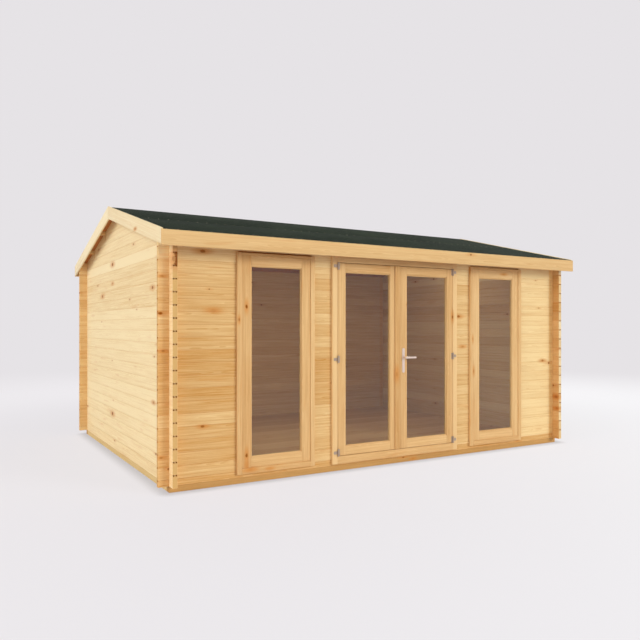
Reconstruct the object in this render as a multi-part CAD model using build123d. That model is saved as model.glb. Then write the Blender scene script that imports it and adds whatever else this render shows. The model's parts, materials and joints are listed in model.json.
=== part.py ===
from build123d import *
from math import cos, radians, tan
import os

# Log cabin with a low saddle roof, a glazed double door and two fixed windows.
# Lengths are in mm. The origin is on the ground at the centre of the plan.
# +X runs along the long walls, and the front wall faces -Y.

# Plan and logs
cabin_length = 4910.0           # between the outer faces of the side walls
cabin_depth = 3615.0            # between the outer faces of the long walls
log_thickness = 44.0
log_cover = 112.0               # height that one log adds to its wall
log_chamfer = 3.0               # along the bottom edges of a log, so that each joint shows as a line
stub_length = 95.0              # log end past the crossing wall
full_rows = 18                  # full logs in a long wall, between its half log and its eaves log
eaves_log_height = 147.0        # at the outer face
notch_clearance = 0.5           # beside a log where it lies in a corner notch

# Base and floor
base_height = 56.0
base_beam_width = 70.0
joist_count = 7
floor_thickness = 18.0
floor_gap = 2.0                 # round the edge of the floor

# Roof
roof_pitch = 14.0
deck_thickness = 19.0
felt_thickness = 3.0
eaves_overhang = 175.0          # wall face to the front of the fascia
gable_overhang = 118.0          # wall face to the front of the barge board
edge_board_thickness = 18.0
edge_board_height = 133.0
barge_rise = 5.0                # barge board above the felt
purlin_width = 44.0
purlin_height = 95.0
lower_purlins = (660.0, 1300.0)  # distances from the ridge
purlin_clearance = 0.5          # each side of a purlin in its gable notch
purlin_tail_height = 35.0       # under the roof outside the gable

# Frames that grip the cut log ends
frame_proud = 25.0              # in front of the logs, and behind them
grip_depth = 22.0               # of a log end in its frame channel
grip_clearance = 0.5
settling_gap = 13.0             # over a frame, where the wall settles

# Windows
window_frame_width = 815.0
pier_width = 201.5              # log wall between the door frame and a window frame
window_jamb_face = 46.0
window_sill_lap = 26.0          # frame below the top of the half log
window_sill_rise = 27.0         # frame above the top of the half log
window_head_height = 24.0
sash_recess = 8.0               # sash face behind the frame face
sash_stile_width = 96.0
sash_rail_height = 95.0
sash_clearance = 0.5

# Glazed door
door_frame_width = 1628.0
door_jamb_face = 59.0
threshold_lap = 41.0            # frame below the top of the half log
threshold_rise = 36.0           # frame above the top of the half log
door_head_lap = 12.0            # frame above the bottom of the eaves log
door_head_face = 64.0
stop_width = 15.0               # door stop inside the frame
door_clearance = 5.0            # leaf to frame and leaf to stop
meeting_gap = 10.0              # between the two leaves
meeting_offset = 15.0           # meeting line to the right of the frame's centre
hinge_stile_width = 86.0
meeting_glass_distance = 108.0  # door centre to the glass of either leaf
door_rail_height = 88.0
cover_strip_width = 60.0
cover_strip_thickness = 12.0

# Leaves and glass
leaf_thickness = 44.0
glass_thickness = 6.0
glass_recess = 18.0             # leaf face to glass
glass_groove_depth = 10.0
glass_clearance = 0.3

# Door furniture
hinge_height = 70.0
hinge_plate_width = 33.0
hinge_plate_thickness = 3.0
hinge_knuckle_radius = 7.0
hinge_axis_distance = 8.0       # axis in front of the leaf face
hinge_pin_radius = 4.0
hinge_pin_sides = 12
hinge_running_gap = 0.3
hinge_end_distance = 32.0       # hinge centre from the end of the leaf
handle_height = 1111.0          # lever axis above the ground
handle_from_centre = 63.0       # lever axis to the right of the frame's centre
handle_plate_width = 33.0
handle_plate_height = 260.0
handle_plate_drop = 30.0        # plate centre below the lever axis
handle_plate_thickness = 4.0
lever_length = 140.0
lever_height = 18.0
lever_thickness = 11.0
lever_stand_off = 48.0          # plate to the far face of the lever
lever_return = 16.0             # turned end of the lever, back to the door
spindle_radius = 5.0
spindle_clearance = 0.3
lever_plate_gap = 0.3

# Heights worked out from the sizes above
half_log_top = base_height + log_cover / 2
eaves_log_bottom = half_log_top + full_rows * log_cover
eaves_height = eaves_log_bottom + eaves_log_height
side_rows = full_rows + 1
gable_bottom = base_height + side_rows * log_cover
slope = tan(radians(roof_pitch))
deck_rise = deck_thickness / cos(radians(roof_pitch))
felt_rise = felt_thickness / cos(radians(roof_pitch))
notch_height = log_cover / 4

# Plan positions worked out from the sizes above
side_face = cabin_length / 2
long_face = cabin_depth / 2
wall_depth = log_thickness + 2 * frame_proud
front_frame_face = -long_face - frame_proud
window_centre = door_frame_width / 2 + pier_width + window_frame_width / 2
window_grip_half = window_frame_width / 2 - grip_depth
door_grip_half = door_frame_width / 2 - grip_depth
door_clear_half = door_frame_width / 2 - door_jamb_face
meeting_left = meeting_offset - meeting_gap / 2
meeting_right = meeting_offset + meeting_gap / 2


def roof_height(y):
    """Underside of the roof at a distance y from the ridge line."""
    return eaves_height + (long_face - abs(y)) * slope


def block(x_range, y_range, z_range):
    """Rectangular solid between three pairs of limits."""
    size = [high - low for low, high in (x_range, y_range, z_range)]
    middle = [(low + high) / 2 for low, high in (x_range, y_range, z_range)]
    return Pos(*middle) * Box(*size)


def prism(points, start, end):
    """Solid between two copies of a polygon, from its own plane along the vector start to end."""
    step = Vector(*end) - Vector(*start)
    corners = [Vector(*start) + Vector(*point) for point in points]
    face = Face(Wire.make_polygon(corners, close=True))
    return extrude(face, amount=step.length, dir=step.normalized())


def prism_along_x(profile, x_low, x_high):
    """Solid with a (y, z) profile."""
    return prism([(0, y, z) for y, z in profile], (x_low, 0, 0), (x_high, 0, 0))


def prism_along_z(profile, z_low, z_high):
    """Solid with an (x, y) profile."""
    return prism([(x, y, 0) for x, y in profile], (0, 0, z_low), (0, 0, z_high))


def log_profile(bottom, outer_top, inner_top, bottom_chamfer):
    """Section of a log with its outer face on the -Y side, centred on y = 0."""
    half = log_thickness / 2
    profile = [(half, inner_top), (-half, outer_top)]
    if not bottom_chamfer:
        return profile + [(-half, bottom), (half, bottom)]
    return profile + [(-half, bottom + bottom_chamfer), (-half + bottom_chamfer, bottom),
                      (half - bottom_chamfer, bottom), (half, bottom + bottom_chamfer)]


def corner_notch(crossing, low, high):
    """Cutter for a notch as wide as the crossing log with its clearance."""
    half = log_thickness / 2 + notch_clearance
    return block((crossing - half, crossing + half), (-log_thickness, log_thickness), (low, high))


def log(start, end, crossings, bottom, top, kind="full"):
    """Log along X with a notch over and under each crossing wall.

    The kind is full, half (it lies on the base) or first (full height, on the base).
    """
    on_base = kind in ("half", "first")
    profile = log_profile(bottom, top, top, 0 if on_base else log_chamfer)
    solid = prism_along_x(profile, start, end)
    for crossing in crossings:
        solid -= corner_notch(crossing, top - notch_height, top + notch_height)
        if kind != "half":
            solid -= corner_notch(crossing, bottom - notch_height, bottom + notch_height)
    return solid


def eaves_log(start, end, crossings):
    """Top log of a long wall, planed to the roof slope; the gable lies over its corner notch."""
    inner_height = eaves_height + log_thickness * slope
    profile = log_profile(eaves_log_bottom, eaves_height, inner_height, log_chamfer)
    solid = prism_along_x(profile, start, end)
    for crossing in crossings:
        solid -= corner_notch(crossing, gable_bottom + notch_height, inner_height + notch_height)
        solid -= corner_notch(crossing, eaves_log_bottom - notch_height,
                              eaves_log_bottom + notch_height)
    return solid


def cut_row(cuts):
    """Lowest full row of a long wall along X, cut where frames stand; cuts holds (start, end) pairs."""
    reach = side_face + stub_length
    corner = side_face - log_thickness / 2
    edges = [-reach] + [edge for cut in cuts for edge in cut] + [reach]
    pieces = []
    for start, end in zip(edges[::2], edges[1::2]):
        crossings = [side * corner for side in (-1, 1) if start < side * corner < end]
        pieces.append(log(start, end, crossings, half_log_top, half_log_top + log_cover))
    return pieces


def whole_wall_log(maker):
    """Log that runs the whole length of a long wall, made by a function of start, end, crossings."""
    reach = side_face + stub_length
    corner = side_face - log_thickness / 2
    return maker(-reach, reach, (-corner, corner))


def half_log(start, end, crossings):
    """Lowest log of a long wall."""
    return log(start, end, crossings, base_height, half_log_top, "half")


def side_log(kind):
    """Lowest log of a side wall, along X before it is turned."""
    reach = long_face + stub_length
    corner = long_face - log_thickness / 2
    return log(-reach, reach, (-corner, corner), base_height, base_height + log_cover, kind)


def stacked(pieces, row):
    """Copies of a row's pieces, raised by whole rows."""
    return [Pos(0, 0, row * log_cover) * piece for piece in pieces]


def long_wall(side, cuts):
    """Two lists of solids for a long wall, odd and even courses; side is -1 front, +1 rear."""
    row_pieces = cut_row(cuts)
    courses = [[whole_wall_log(half_log)]]
    courses += [stacked(row_pieces, row) for row in range(full_rows)]
    courses.append([whole_wall_log(eaves_log)])
    turn = Rot(0, 0, 0) if side < 0 else Rot(0, 0, 180)
    place = Pos(0, side * (long_face - log_thickness / 2), 0) * turn
    placed = [[place * solid for solid in course] for course in courses]
    odd = [solid for course in placed[0::2] for solid in course]
    even = [solid for course in placed[1::2] for solid in course]
    return odd, even


def side_wall(side):
    """Two lists of solids for a side wall; side is -1 left, +1 right."""
    place = Pos(side * (side_face - log_thickness / 2), 0, 0) * Rot(0, 0, side * 90)
    full_log = side_log("full")
    logs = [side_log("first")]
    logs += [stacked([full_log], row)[0] for row in range(1, side_rows)]
    placed = [place * solid for solid in logs]
    return placed[0::2], placed[1::2]


def gable(side):
    """Triangular top of a side wall, notched over the eaves logs and under the purlins."""
    reach = long_face + stub_length
    corner = long_face - log_thickness / 2
    outline = [(-reach, gable_bottom), (reach, gable_bottom), (reach, roof_height(reach)),
               (0, roof_height(0)), (-reach, roof_height(reach))]
    centre = side * (side_face - log_thickness / 2)
    half = log_thickness / 2
    solid = prism_along_x(outline, centre - half, centre + half)
    low_edges = [edge for edge in solid.edges().group_by(Axis.Z)[0]
                 if abs(edge.tangent_at(0).Y) > cos(radians(roof_pitch))]
    solid = chamfer(low_edges, log_chamfer)
    x_range = (centre - log_thickness, centre + log_thickness)
    for crossing in (-corner, corner):
        half_notch = log_thickness / 2 + notch_clearance
        y_range = (crossing - half_notch, crossing + half_notch)
        solid -= block(x_range, y_range, (gable_bottom - notch_height, gable_bottom + notch_height))
    for y in purlin_places():
        y_range = (y - purlin_width / 2 - purlin_clearance, y + purlin_width / 2 + purlin_clearance)
        solid -= block(x_range, y_range, (purlin_bottom(y), roof_height(0) + purlin_height))
    return solid


def purlin_places():
    """Distances of all purlins from the ridge line, from front to rear."""
    return [-y for y in reversed(lower_purlins)] + [0.0] + list(lower_purlins)


def purlin_bottom(y):
    """Height of a purlin's underside."""
    return roof_height(y) - purlin_height


def purlin(y):
    """Purlin with its top planed to the roof slope, as long as the roof deck.

    Its tails, outside the gables, are cut back from below.
    """
    low, high = y - purlin_width / 2, y + purlin_width / 2
    profile = [(low, purlin_bottom(y)), (high, purlin_bottom(y)), (high, roof_height(high))]
    if low < 0 < high:
        profile.append((0, roof_height(0)))
    profile.append((low, roof_height(low)))
    reach = side_face + gable_overhang - edge_board_thickness
    solid = prism_along_x(profile, -reach, reach)
    tail_bottom = roof_height(high if y >= 0 else low) - purlin_tail_height
    y_range = (low - purlin_width, high + purlin_width)
    for side in (-1, 1):
        x_range = sorted((side * side_face, side * 2 * reach))
        solid -= block(x_range, y_range, (purlin_bottom(y) - purlin_height, tail_bottom))
    return solid


def sloping_board(side, y_end, rise_low, rise_high, x_low, x_high):
    """Board along a roof slope from the ridge to y_end, between two rises over the underside."""
    profile = [(0, roof_height(0) + rise_low), (0, roof_height(0) + rise_high),
               (side * y_end, roof_height(y_end) + rise_high),
               (side * y_end, roof_height(y_end) + rise_low)]
    return prism_along_x(profile, x_low, x_high)


def roof_deck(side):
    """Boarding of one slope, from the ridge to the back of the fascia."""
    reach = side_face + gable_overhang - edge_board_thickness
    y_end = long_face + eaves_overhang - edge_board_thickness
    return sloping_board(side, y_end, 0, deck_rise, -reach, reach)


def roof_felt(side):
    """Felt of one slope, over the deck and the top of the fascia."""
    reach = side_face + gable_overhang - edge_board_thickness
    y_end = long_face + eaves_overhang
    return sloping_board(side, y_end, deck_rise, deck_rise + felt_rise, -reach, reach)


def fascia(side):
    """Board along the eaves, with its top planed to the slope of the deck."""
    front = long_face + eaves_overhang
    back = front - edge_board_thickness
    front_top = roof_height(front) + deck_rise
    back_top = roof_height(back) + deck_rise
    bottom = front_top - edge_board_height
    profile = [(side * front, bottom), (side * front, front_top),
               (side * back, back_top), (side * back, bottom)]
    reach = side_face + gable_overhang
    return prism_along_x(profile, -reach, reach)


def barge_board(roof_side, gable_side):
    """Board on the gable edge of one slope, butted on its partner at the ridge."""
    inner = side_face + gable_overhang - edge_board_thickness
    outer = side_face + gable_overhang
    y_end = long_face + eaves_overhang - edge_board_thickness
    rise_high = deck_rise + felt_rise + barge_rise
    rise_low = rise_high - edge_board_height / cos(radians(roof_pitch))
    low, high = sorted((gable_side * inner, gable_side * outer))
    return sloping_board(roof_side, y_end, rise_low, rise_high, low, high)


def channel_profile(face, grip, stop=0.0):
    """Frame section as (across, depth) points: a channel that grips the logs, and a door stop.

    Across runs from the frame's outer edge to the opening, depth from the front to the inside.
    """
    lip = frame_proud - grip_clearance
    profile = [(0, 0), (face, 0)]
    if stop:
        stop_depth = leaf_thickness + door_clearance
        profile += [(face, stop_depth), (face + stop, stop_depth), (face + stop, wall_depth)]
    else:
        profile.append((face, wall_depth))
    profile.append((0, wall_depth))
    if grip:
        profile += [(0, wall_depth - lip), (grip, wall_depth - lip), (grip, lip), (0, lip)]
    return profile


def frame_post(profile, edge, direction, z_low, z_high):
    """Upright frame piece that reaches over the half log, and over the eaves log if it is that high."""
    points = [(edge + direction * across, front_frame_face + depth) for across, depth in profile]
    solid = prism_along_z(points, z_low, z_high)
    slot = log_thickness / 2 + grip_clearance
    wall_centre = -long_face + log_thickness / 2
    y_range = (wall_centre - slot, wall_centre + slot)
    x_range = (edge - door_frame_width, edge + door_frame_width)
    solid -= block(x_range, y_range, (z_low - log_cover, half_log_top))
    solid -= block(x_range, y_range, (eaves_log_bottom - settling_gap, z_high + log_cover))
    return solid


def floor_cut():
    """Cutter that ends the inner lips of the door frame on the floor."""
    wall_centre = -long_face + log_thickness / 2
    return block((-side_face, side_face), (wall_centre, wall_centre + wall_depth),
                 (0, base_height + floor_thickness))


def frame_rail(profile, edge, direction, x_low, x_high):
    """Level frame piece between two posts."""
    points = [(front_frame_face + depth, edge + direction * across) for across, depth in profile]
    return prism_along_x(points, x_low, x_high)


def window_posts(centre):
    """Both posts of a window frame."""
    profile = channel_profile(window_jamb_face, grip_depth + grip_clearance)
    z_low = half_log_top - window_sill_lap
    z_high = eaves_log_bottom - settling_gap
    half = window_frame_width / 2
    return [frame_post(profile, centre - side * half, side, z_low, z_high) for side in (1, -1)]


def window_head_and_sill(centre):
    """Head and sill between the posts of a window frame."""
    reach = window_frame_width / 2 - window_jamb_face
    sill = channel_profile(window_sill_lap + window_sill_rise, window_sill_lap)
    head = channel_profile(window_head_height, 0)
    return [frame_rail(sill, half_log_top - window_sill_lap, 1, centre - reach, centre + reach),
            frame_rail(head, eaves_log_bottom - settling_gap, -1, centre - reach, centre + reach)]


def glazed_panel(x_range, z_range, front, stile_widths, rail_height):
    """Stiles, rails and glass of a sash or a door leaf; front is the y of its outer face."""
    x_low, x_high = x_range
    z_low, z_high = z_range
    back = front + leaf_thickness
    groove_front = front + glass_recess - glass_clearance
    groove_back = front + glass_recess + glass_thickness + glass_clearance
    glass_left, glass_right = x_low + stile_widths[0], x_high - stile_widths[1]
    stiles = []
    for outer, inner, inward in ((x_low, glass_left, 1), (x_high, glass_right, -1)):
        floor = inner - inward * glass_groove_depth
        profile = [(outer, front), (inner, front), (inner, groove_front), (floor, groove_front),
                   (floor, groove_back), (inner, groove_back), (inner, back), (outer, back)]
        stiles.append(prism_along_z(profile, z_low, z_high))
    rails = []
    for outer, inward in ((z_low, 1), (z_high, -1)):
        inner = outer + inward * rail_height
        floor = inner - inward * glass_groove_depth
        profile = [(front, outer), (front, inner), (groove_front, inner), (groove_front, floor),
                   (groove_back, floor), (groove_back, inner), (back, inner), (back, outer)]
        rails.append(prism_along_x(profile, glass_left, glass_right))
    lap = glass_groove_depth - glass_clearance
    glass = block((glass_left - lap, glass_right + lap),
                  (front + glass_recess, front + glass_recess + glass_thickness),
                  (z_low + rail_height - lap, z_high - rail_height + lap))
    return stiles, rails, glass


def window_sash(centre):
    """Fixed glazed sash of a window."""
    reach = window_frame_width / 2 - window_jamb_face - sash_clearance
    z_low = half_log_top + window_sill_rise
    z_high = eaves_log_bottom - settling_gap - window_head_height - sash_clearance
    widths = (sash_stile_width, sash_stile_width)
    return glazed_panel((centre - reach, centre + reach), (z_low, z_high),
                        front_frame_face + sash_recess, widths, sash_rail_height)


def door_frame():
    """Posts, head and threshold of the door frame."""
    z_low = half_log_top - threshold_lap
    z_high = eaves_log_bottom + door_head_lap
    half = door_frame_width / 2
    post = channel_profile(door_jamb_face, grip_depth + grip_clearance, stop_width)
    posts = [frame_post(post, -side * half, side, z_low, z_high) - floor_cut() for side in (1, -1)]
    threshold = channel_profile(threshold_lap + threshold_rise, threshold_lap, stop_width)
    head = channel_profile(door_head_face, door_head_lap + settling_gap, stop_width)
    cutter_depth = (front_frame_face + leaf_thickness + door_clearance, front_frame_face + wall_depth)
    rails = []
    for profile, edge, direction in ((head, z_high, -1), (threshold, z_low, 1)):
        rail = frame_rail(profile, edge, direction, -door_clear_half, door_clear_half)
        for side in (1, -1):
            x_range = sorted((side * (door_clear_half - stop_width), side * door_frame_width))
            rail -= block(x_range, cutter_depth, (z_low, z_high))
        rails.append(rail)
    return posts, rails[0], rails[1] - floor_cut()


def leaf_heights():
    """Lowest and highest point of a door leaf."""
    z_low = half_log_top + threshold_rise + door_clearance
    z_high = eaves_log_bottom + door_head_lap - door_head_face - door_clearance
    return z_low, z_high


def spindle_bore():
    """Cutter for the hole that the lever's spindle turns in."""
    depth = 2 * wall_depth
    turned = Rot(90, 0, 0) * Cylinder(spindle_radius + spindle_clearance, depth)
    return Pos(handle_from_centre, front_frame_face, handle_height) * turned


def door_leaf(side):
    """Stiles, rails and glass of a leaf; side is -1 left, +1 right."""
    edge = side * (door_clear_half - door_clearance)
    if side < 0:
        x_range = (edge, meeting_left)
        widths = (hinge_stile_width, meeting_left + meeting_glass_distance)
    else:
        x_range = (meeting_right, edge)
        widths = (meeting_glass_distance - meeting_right, hinge_stile_width)
    return glazed_panel(x_range, leaf_heights(), front_frame_face, widths, door_rail_height)


def cover_strip():
    """Strip on the meeting stile of the left leaf, flush with the leaf's edge."""
    return block((meeting_left - cover_strip_width, meeting_left),
                 (front_frame_face - cover_strip_thickness, front_frame_face), leaf_heights())


def hinge_places():
    """Heights of the three hinges of a leaf."""
    z_low, z_high = leaf_heights()
    return z_low + hinge_end_distance, (z_low + z_high) / 2, z_high - hinge_end_distance


def hinge_axis_x(side):
    """Hinge axis, in the middle of the gap between the leaf and the frame."""
    return side * (door_clear_half - door_clearance / 2)


def hinge_plate(side, towards, height, knuckle_low, knuckle_high):
    """Flat plate and its knuckle; towards is -1 for the frame's plate and +1 for the leaf's."""
    axis_x = hinge_axis_x(side)
    axis_y = front_frame_face - hinge_axis_distance
    inward = -side * towards
    far = axis_x + inward * hinge_plate_width
    near = axis_x + inward * hinge_axis_distance
    y_range = (front_frame_face - hinge_plate_thickness, front_frame_face)
    half = hinge_height / 2
    plate = block(sorted((near, far)), y_range, (height - half, height + half))
    plate += block(sorted((axis_x, near)), y_range, (knuckle_low, knuckle_high))
    length = knuckle_high - knuckle_low
    knuckle = Pos(axis_x, axis_y, (knuckle_low + knuckle_high) / 2)
    return plate + knuckle * Cylinder(hinge_knuckle_radius, length)


def pin_prism(side, z_low, z_high, gap=0.0):
    """Many-sided pin on a hinge axis, or with a gap the bore that clears it all round."""
    section = RegularPolygon(hinge_pin_radius + gap, hinge_pin_sides, major_radius=not gap)
    place = Pos(hinge_axis_x(side), front_frame_face - hinge_axis_distance, z_low)
    return place * extrude(section, amount=z_high - z_low)


def frame_hinge(side, height):
    """Hinge half on the frame: the lower knuckle with the pin that stands up from it."""
    half = hinge_height / 2
    solid = hinge_plate(side, -1, height, height - half, height - hinge_running_gap / 2)
    return solid + pin_prism(side, height - half, height + half - hinge_pin_radius)


def leaf_hinge(side, height):
    """Hinge half on the leaf: the upper knuckle, bored for the pin."""
    half = hinge_height / 2
    knuckle_low = height + hinge_running_gap / 2
    solid = hinge_plate(side, 1, height, knuckle_low, height + half)
    bore_top = height + half - hinge_pin_radius + hinge_running_gap
    return solid - pin_prism(side, height - half, bore_top, hinge_running_gap)


def handle_plate(outside):
    """Long plate with round ends on one face of the right leaf."""
    radius = handle_plate_width / 2
    centre_z = handle_height - handle_plate_drop
    straight = handle_plate_height - 2 * radius
    outline = SlotCenterToCenter(straight, handle_plate_width, rotation=90)
    face_y = front_frame_face if outside else front_frame_face + leaf_thickness
    start_y = face_y if outside else face_y + handle_plate_thickness
    place = Plane(origin=(handle_from_centre, start_y, centre_z), x_dir=(1, 0, 0), z_dir=(0, -1, 0))
    return extrude(place * outline, amount=handle_plate_thickness) - spindle_bore()


def lever_arm(outside):
    """One lever as seen from above: neck, rounded elbow, grip and its turned end."""
    outward = -1 if outside else 1
    leaf_face = front_frame_face if outside else front_frame_face + leaf_thickness
    start = leaf_face + outward * (handle_plate_thickness + lever_plate_gap)
    back = start + outward * (lever_stand_off - lever_thickness)
    front = start + outward * lever_stand_off
    low_x = handle_from_centre - lever_thickness / 2
    neck_x = handle_from_centre + lever_thickness / 2
    tip = handle_from_centre + lever_length
    turned_x = tip - lever_thickness
    end_y = back - outward * lever_return
    outline = [(low_x, start), (low_x, front), (tip, front), (tip, end_y),
               (turned_x, end_y), (turned_x, back), (neck_x, back), (neck_x, start)]
    half_height = lever_height / 2
    arm = prism_along_z(outline, handle_height - half_height, handle_height + half_height)
    for bend_y, radius in ((back, lever_thickness / 2), (front, lever_thickness)):
        upright = arm.edges().filter_by(Axis.Z)
        bends = [edge for edge in upright if abs(edge.center().Y - bend_y) < lever_plate_gap]
        arm = fillet(bends, radius)
    return arm


def lever_handle():
    """Both levers on their spindle."""
    start = front_frame_face - handle_plate_thickness - lever_plate_gap
    end = front_frame_face + leaf_thickness + handle_plate_thickness + lever_plate_gap
    place = Pos(handle_from_centre, (start + end) / 2, handle_height) * Rot(90, 0, 0)
    spindle = place * Cylinder(spindle_radius, end - start)
    return lever_arm(True) + spindle + lever_arm(False)


def base_long_beams():
    """Beams under the long walls."""
    beams = []
    for side in (-1, 1):
        y_range = sorted((side * long_face, side * (long_face - base_beam_width)))
        beams.append(block((-side_face, side_face), y_range, (0, base_height)))
    return beams


def base_cross_beams():
    """Beams under the side walls, and evenly spaced joists between them."""
    first = side_face - base_beam_width / 2
    pitch = 2 * first / (joist_count + 1)
    reach = long_face - base_beam_width
    beams = []
    for place in range(joist_count + 2):
        centre = -first + place * pitch
        x_range = (centre - base_beam_width / 2, centre + base_beam_width / 2)
        beams.append(block(x_range, (-reach, reach), (0, base_height)))
    return beams


def floor_panel():
    """Floor between the walls, on the base."""
    x_reach = side_face - log_thickness - floor_gap
    y_reach = long_face - log_thickness - floor_gap
    return block((-x_reach, x_reach), (-y_reach, y_reach),
                 (base_height, base_height + floor_thickness))


def save(name, solids):
    """Write the solids of one sub-part."""
    solids = list(solids)
    shape = solids[0] if len(solids) == 1 else Compound(children=solids)
    export_step(shape, os.path.join("parts", name + ".step"))


def save_base():
    """Write the base and the floor."""
    save("base_long_beams", base_long_beams())
    save("base_cross_beams", base_cross_beams())
    save("floor_boards", [floor_panel()])


def save_walls():
    """Write the four walls and the gables."""
    window_cuts = [(side * window_centre - window_grip_half, side * window_centre + window_grip_half)
                   for side in (-1, 1)]
    front_cuts = [window_cuts[0], (-door_grip_half, door_grip_half), window_cuts[1]]
    walls = {"front_wall": long_wall(-1, front_cuts), "rear_wall": long_wall(1, []),
             "left_wall": side_wall(-1), "right_wall": side_wall(1)}
    for name, (odd, even) in walls.items():
        save(name + "_odd_logs", odd)
        save(name + "_even_logs", even)
    save("left_gable", [gable(-1)])
    save("right_gable", [gable(1)])


def save_roof():
    """Write the purlins, the two slopes and the edge boards."""
    save("ridge_purlin", [purlin(0)])
    save("lower_purlins", [purlin(y) for y in purlin_places() if y])
    for name, side in (("front", -1), ("rear", 1)):
        save(name + "_roof_deck", [roof_deck(side)])
        save(name + "_roof_felt", [roof_felt(side)])
        save(name + "_barge_boards", [barge_board(side, gable_side) for gable_side in (-1, 1)])
    save("fascia_boards", [fascia(-1), fascia(1)])


def save_windows():
    """Write the frames, sashes and glass of the two fixed windows."""
    centres = {"left": -window_centre, "right": window_centre}
    save("window_posts", [post for centre in centres.values() for post in window_posts(centre)])
    save("window_heads_and_sills",
         [rail for centre in centres.values() for rail in window_head_and_sill(centre)])
    for name, centre in centres.items():
        stiles, rails, glass = window_sash(centre)
        save(name + "_window_stiles", stiles)
        save(name + "_window_rails", rails)
        save(name + "_window_glass", [glass])


def save_door():
    """Write the door frame, both leaves, the hinges and the handle."""
    posts, head, threshold = door_frame()
    save("door_frame_posts", posts)
    save("door_frame_head", [head])
    save("door_threshold", [threshold])
    save("door_frame_hinges",
         [frame_hinge(side, height) for side in (-1, 1) for height in hinge_places()])
    for name, side in (("left_door", -1), ("right_door", 1)):
        stiles, rails, glass = door_leaf(side)
        if side > 0:
            stiles = [stile - spindle_bore() for stile in stiles]
        save(name + "_stiles", stiles)
        save(name + "_rails", rails)
        save(name + "_glass", [glass])
        save(name + "_hinges", [leaf_hinge(side, height) for height in hinge_places()])
    save("door_cover_strip", [cover_strip()])
    save("handle_plates", [handle_plate(True), handle_plate(False)])
    save("lever_handle", [lever_handle()])


os.makedirs("parts", exist_ok=True)
save_base()
save_walls()
save_roof()
save_windows()
save_door()
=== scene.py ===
"""Looks of the log cabin: its logs, boards, joinery, glazing, felt roof and door furniture, in metres."""
import json
import logging
import math
import random
from contextlib import contextmanager
from dataclasses import dataclass, field
from enum import Enum
from functools import cache, partial
from typing import Callable, Iterator, Sequence

import bmesh
import bpy
from mathutils import Matrix, Vector

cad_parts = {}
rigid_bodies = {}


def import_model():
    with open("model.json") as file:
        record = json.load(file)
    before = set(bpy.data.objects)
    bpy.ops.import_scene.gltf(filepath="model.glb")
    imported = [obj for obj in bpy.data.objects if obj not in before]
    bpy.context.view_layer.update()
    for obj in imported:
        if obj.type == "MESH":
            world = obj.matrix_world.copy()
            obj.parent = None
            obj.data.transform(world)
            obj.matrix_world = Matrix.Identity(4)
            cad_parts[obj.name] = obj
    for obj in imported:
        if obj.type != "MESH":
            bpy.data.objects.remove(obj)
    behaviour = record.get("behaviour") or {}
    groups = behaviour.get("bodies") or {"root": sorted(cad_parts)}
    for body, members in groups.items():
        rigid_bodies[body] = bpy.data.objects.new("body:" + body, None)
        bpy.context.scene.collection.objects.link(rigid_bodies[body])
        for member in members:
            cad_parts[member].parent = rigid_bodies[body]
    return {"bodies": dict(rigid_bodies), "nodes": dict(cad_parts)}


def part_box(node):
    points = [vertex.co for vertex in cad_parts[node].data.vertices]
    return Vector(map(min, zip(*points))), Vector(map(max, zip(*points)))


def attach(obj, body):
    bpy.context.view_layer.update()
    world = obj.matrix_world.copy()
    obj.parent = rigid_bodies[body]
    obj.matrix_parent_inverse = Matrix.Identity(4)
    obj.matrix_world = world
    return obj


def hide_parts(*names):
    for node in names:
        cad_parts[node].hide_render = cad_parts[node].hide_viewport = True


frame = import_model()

LOG = logging.getLogger("cabin")
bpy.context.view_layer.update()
Point = Colour = tuple[float, float, float]
Piece = bpy.types.Object
Material = bpy.types.Material
Node = bpy.types.Node
Tree = bpy.types.NodeTree
Test = Callable[[Vector], bool]
FINISHES: dict[str, Material] = {}
NEAR = 1e-4
FIGURES = 90
LYING = (math.pi / 2, 0, 0)


def srgb(red: float, green: float, blue: float) -> Colour:
    """Linear colour of an 8-bit screen colour.

    Args:
        red: Red, 0 to 255.
        green: Green, 0 to 255.
        blue: Blue, 0 to 255.

    Returns:
        The three linear values.
    """
    shares = (value / 255 for value in (red, green, blue))
    return tuple(share / 12.92 if share <= 0.04045 else ((share + 0.055) / 1.055) ** 2.4 for share in shares)


class Grain(Enum):
    """Direction in which a board's grain runs, as (along, across, through) axes."""

    ALONG_X = ("X", "Z", "Y")
    ALONG_X_FLAT = ("X", "Y", "Z")
    ALONG_Y = ("Y", "Z", "X")
    ALONG_Y_FLAT = ("Y", "X", "Z")
    UPRIGHT = ("Z", "X", "Y")


# Modelling helpers


def only(*objects: Piece) -> None:
    """Select objects alone.

    Args:
        objects: The objects, of which the first becomes active.
    """
    if bpy.context.mode != "OBJECT":
        bpy.ops.object.mode_set(mode="OBJECT")
    bpy.ops.object.select_all(action="DESELECT")
    for item in objects:
        item.select_set(True)
    bpy.context.view_layer.objects.active = objects[0]


@contextmanager
def editing(item: Piece, kind: str = "FACE") -> Iterator[None]:
    """Edit mode on one object.

    Args:
        item: The object to edit.
        kind: What is selected: VERT, EDGE or FACE.
    """
    only(item)
    bpy.ops.object.mode_set(mode="EDIT")
    bpy.ops.mesh.select_mode(type=kind)
    yield
    bpy.ops.object.mode_set(mode="OBJECT")


def pick(item: Piece, kind: str, test: Test) -> None:
    """Select what passes a test in edit mode.

    Args:
        item: The object.
        kind: verts, edges or faces.
        test: Takes the middle of one.
    """
    bpy.ops.mesh.select_all(action="DESELECT")
    mesh = bmesh.from_edit_mesh(item.data)
    for element in getattr(mesh, kind):
        corners = [element] if kind == "verts" else element.verts
        if test(sum((corner.co for corner in corners), Vector()) / len(corners)):
            element.select_set(True)
    bmesh.update_edit_mesh(item.data)


def everything() -> None:
    """Select the whole mesh in edit mode."""
    bpy.ops.mesh.select_all(action="SELECT")


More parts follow.
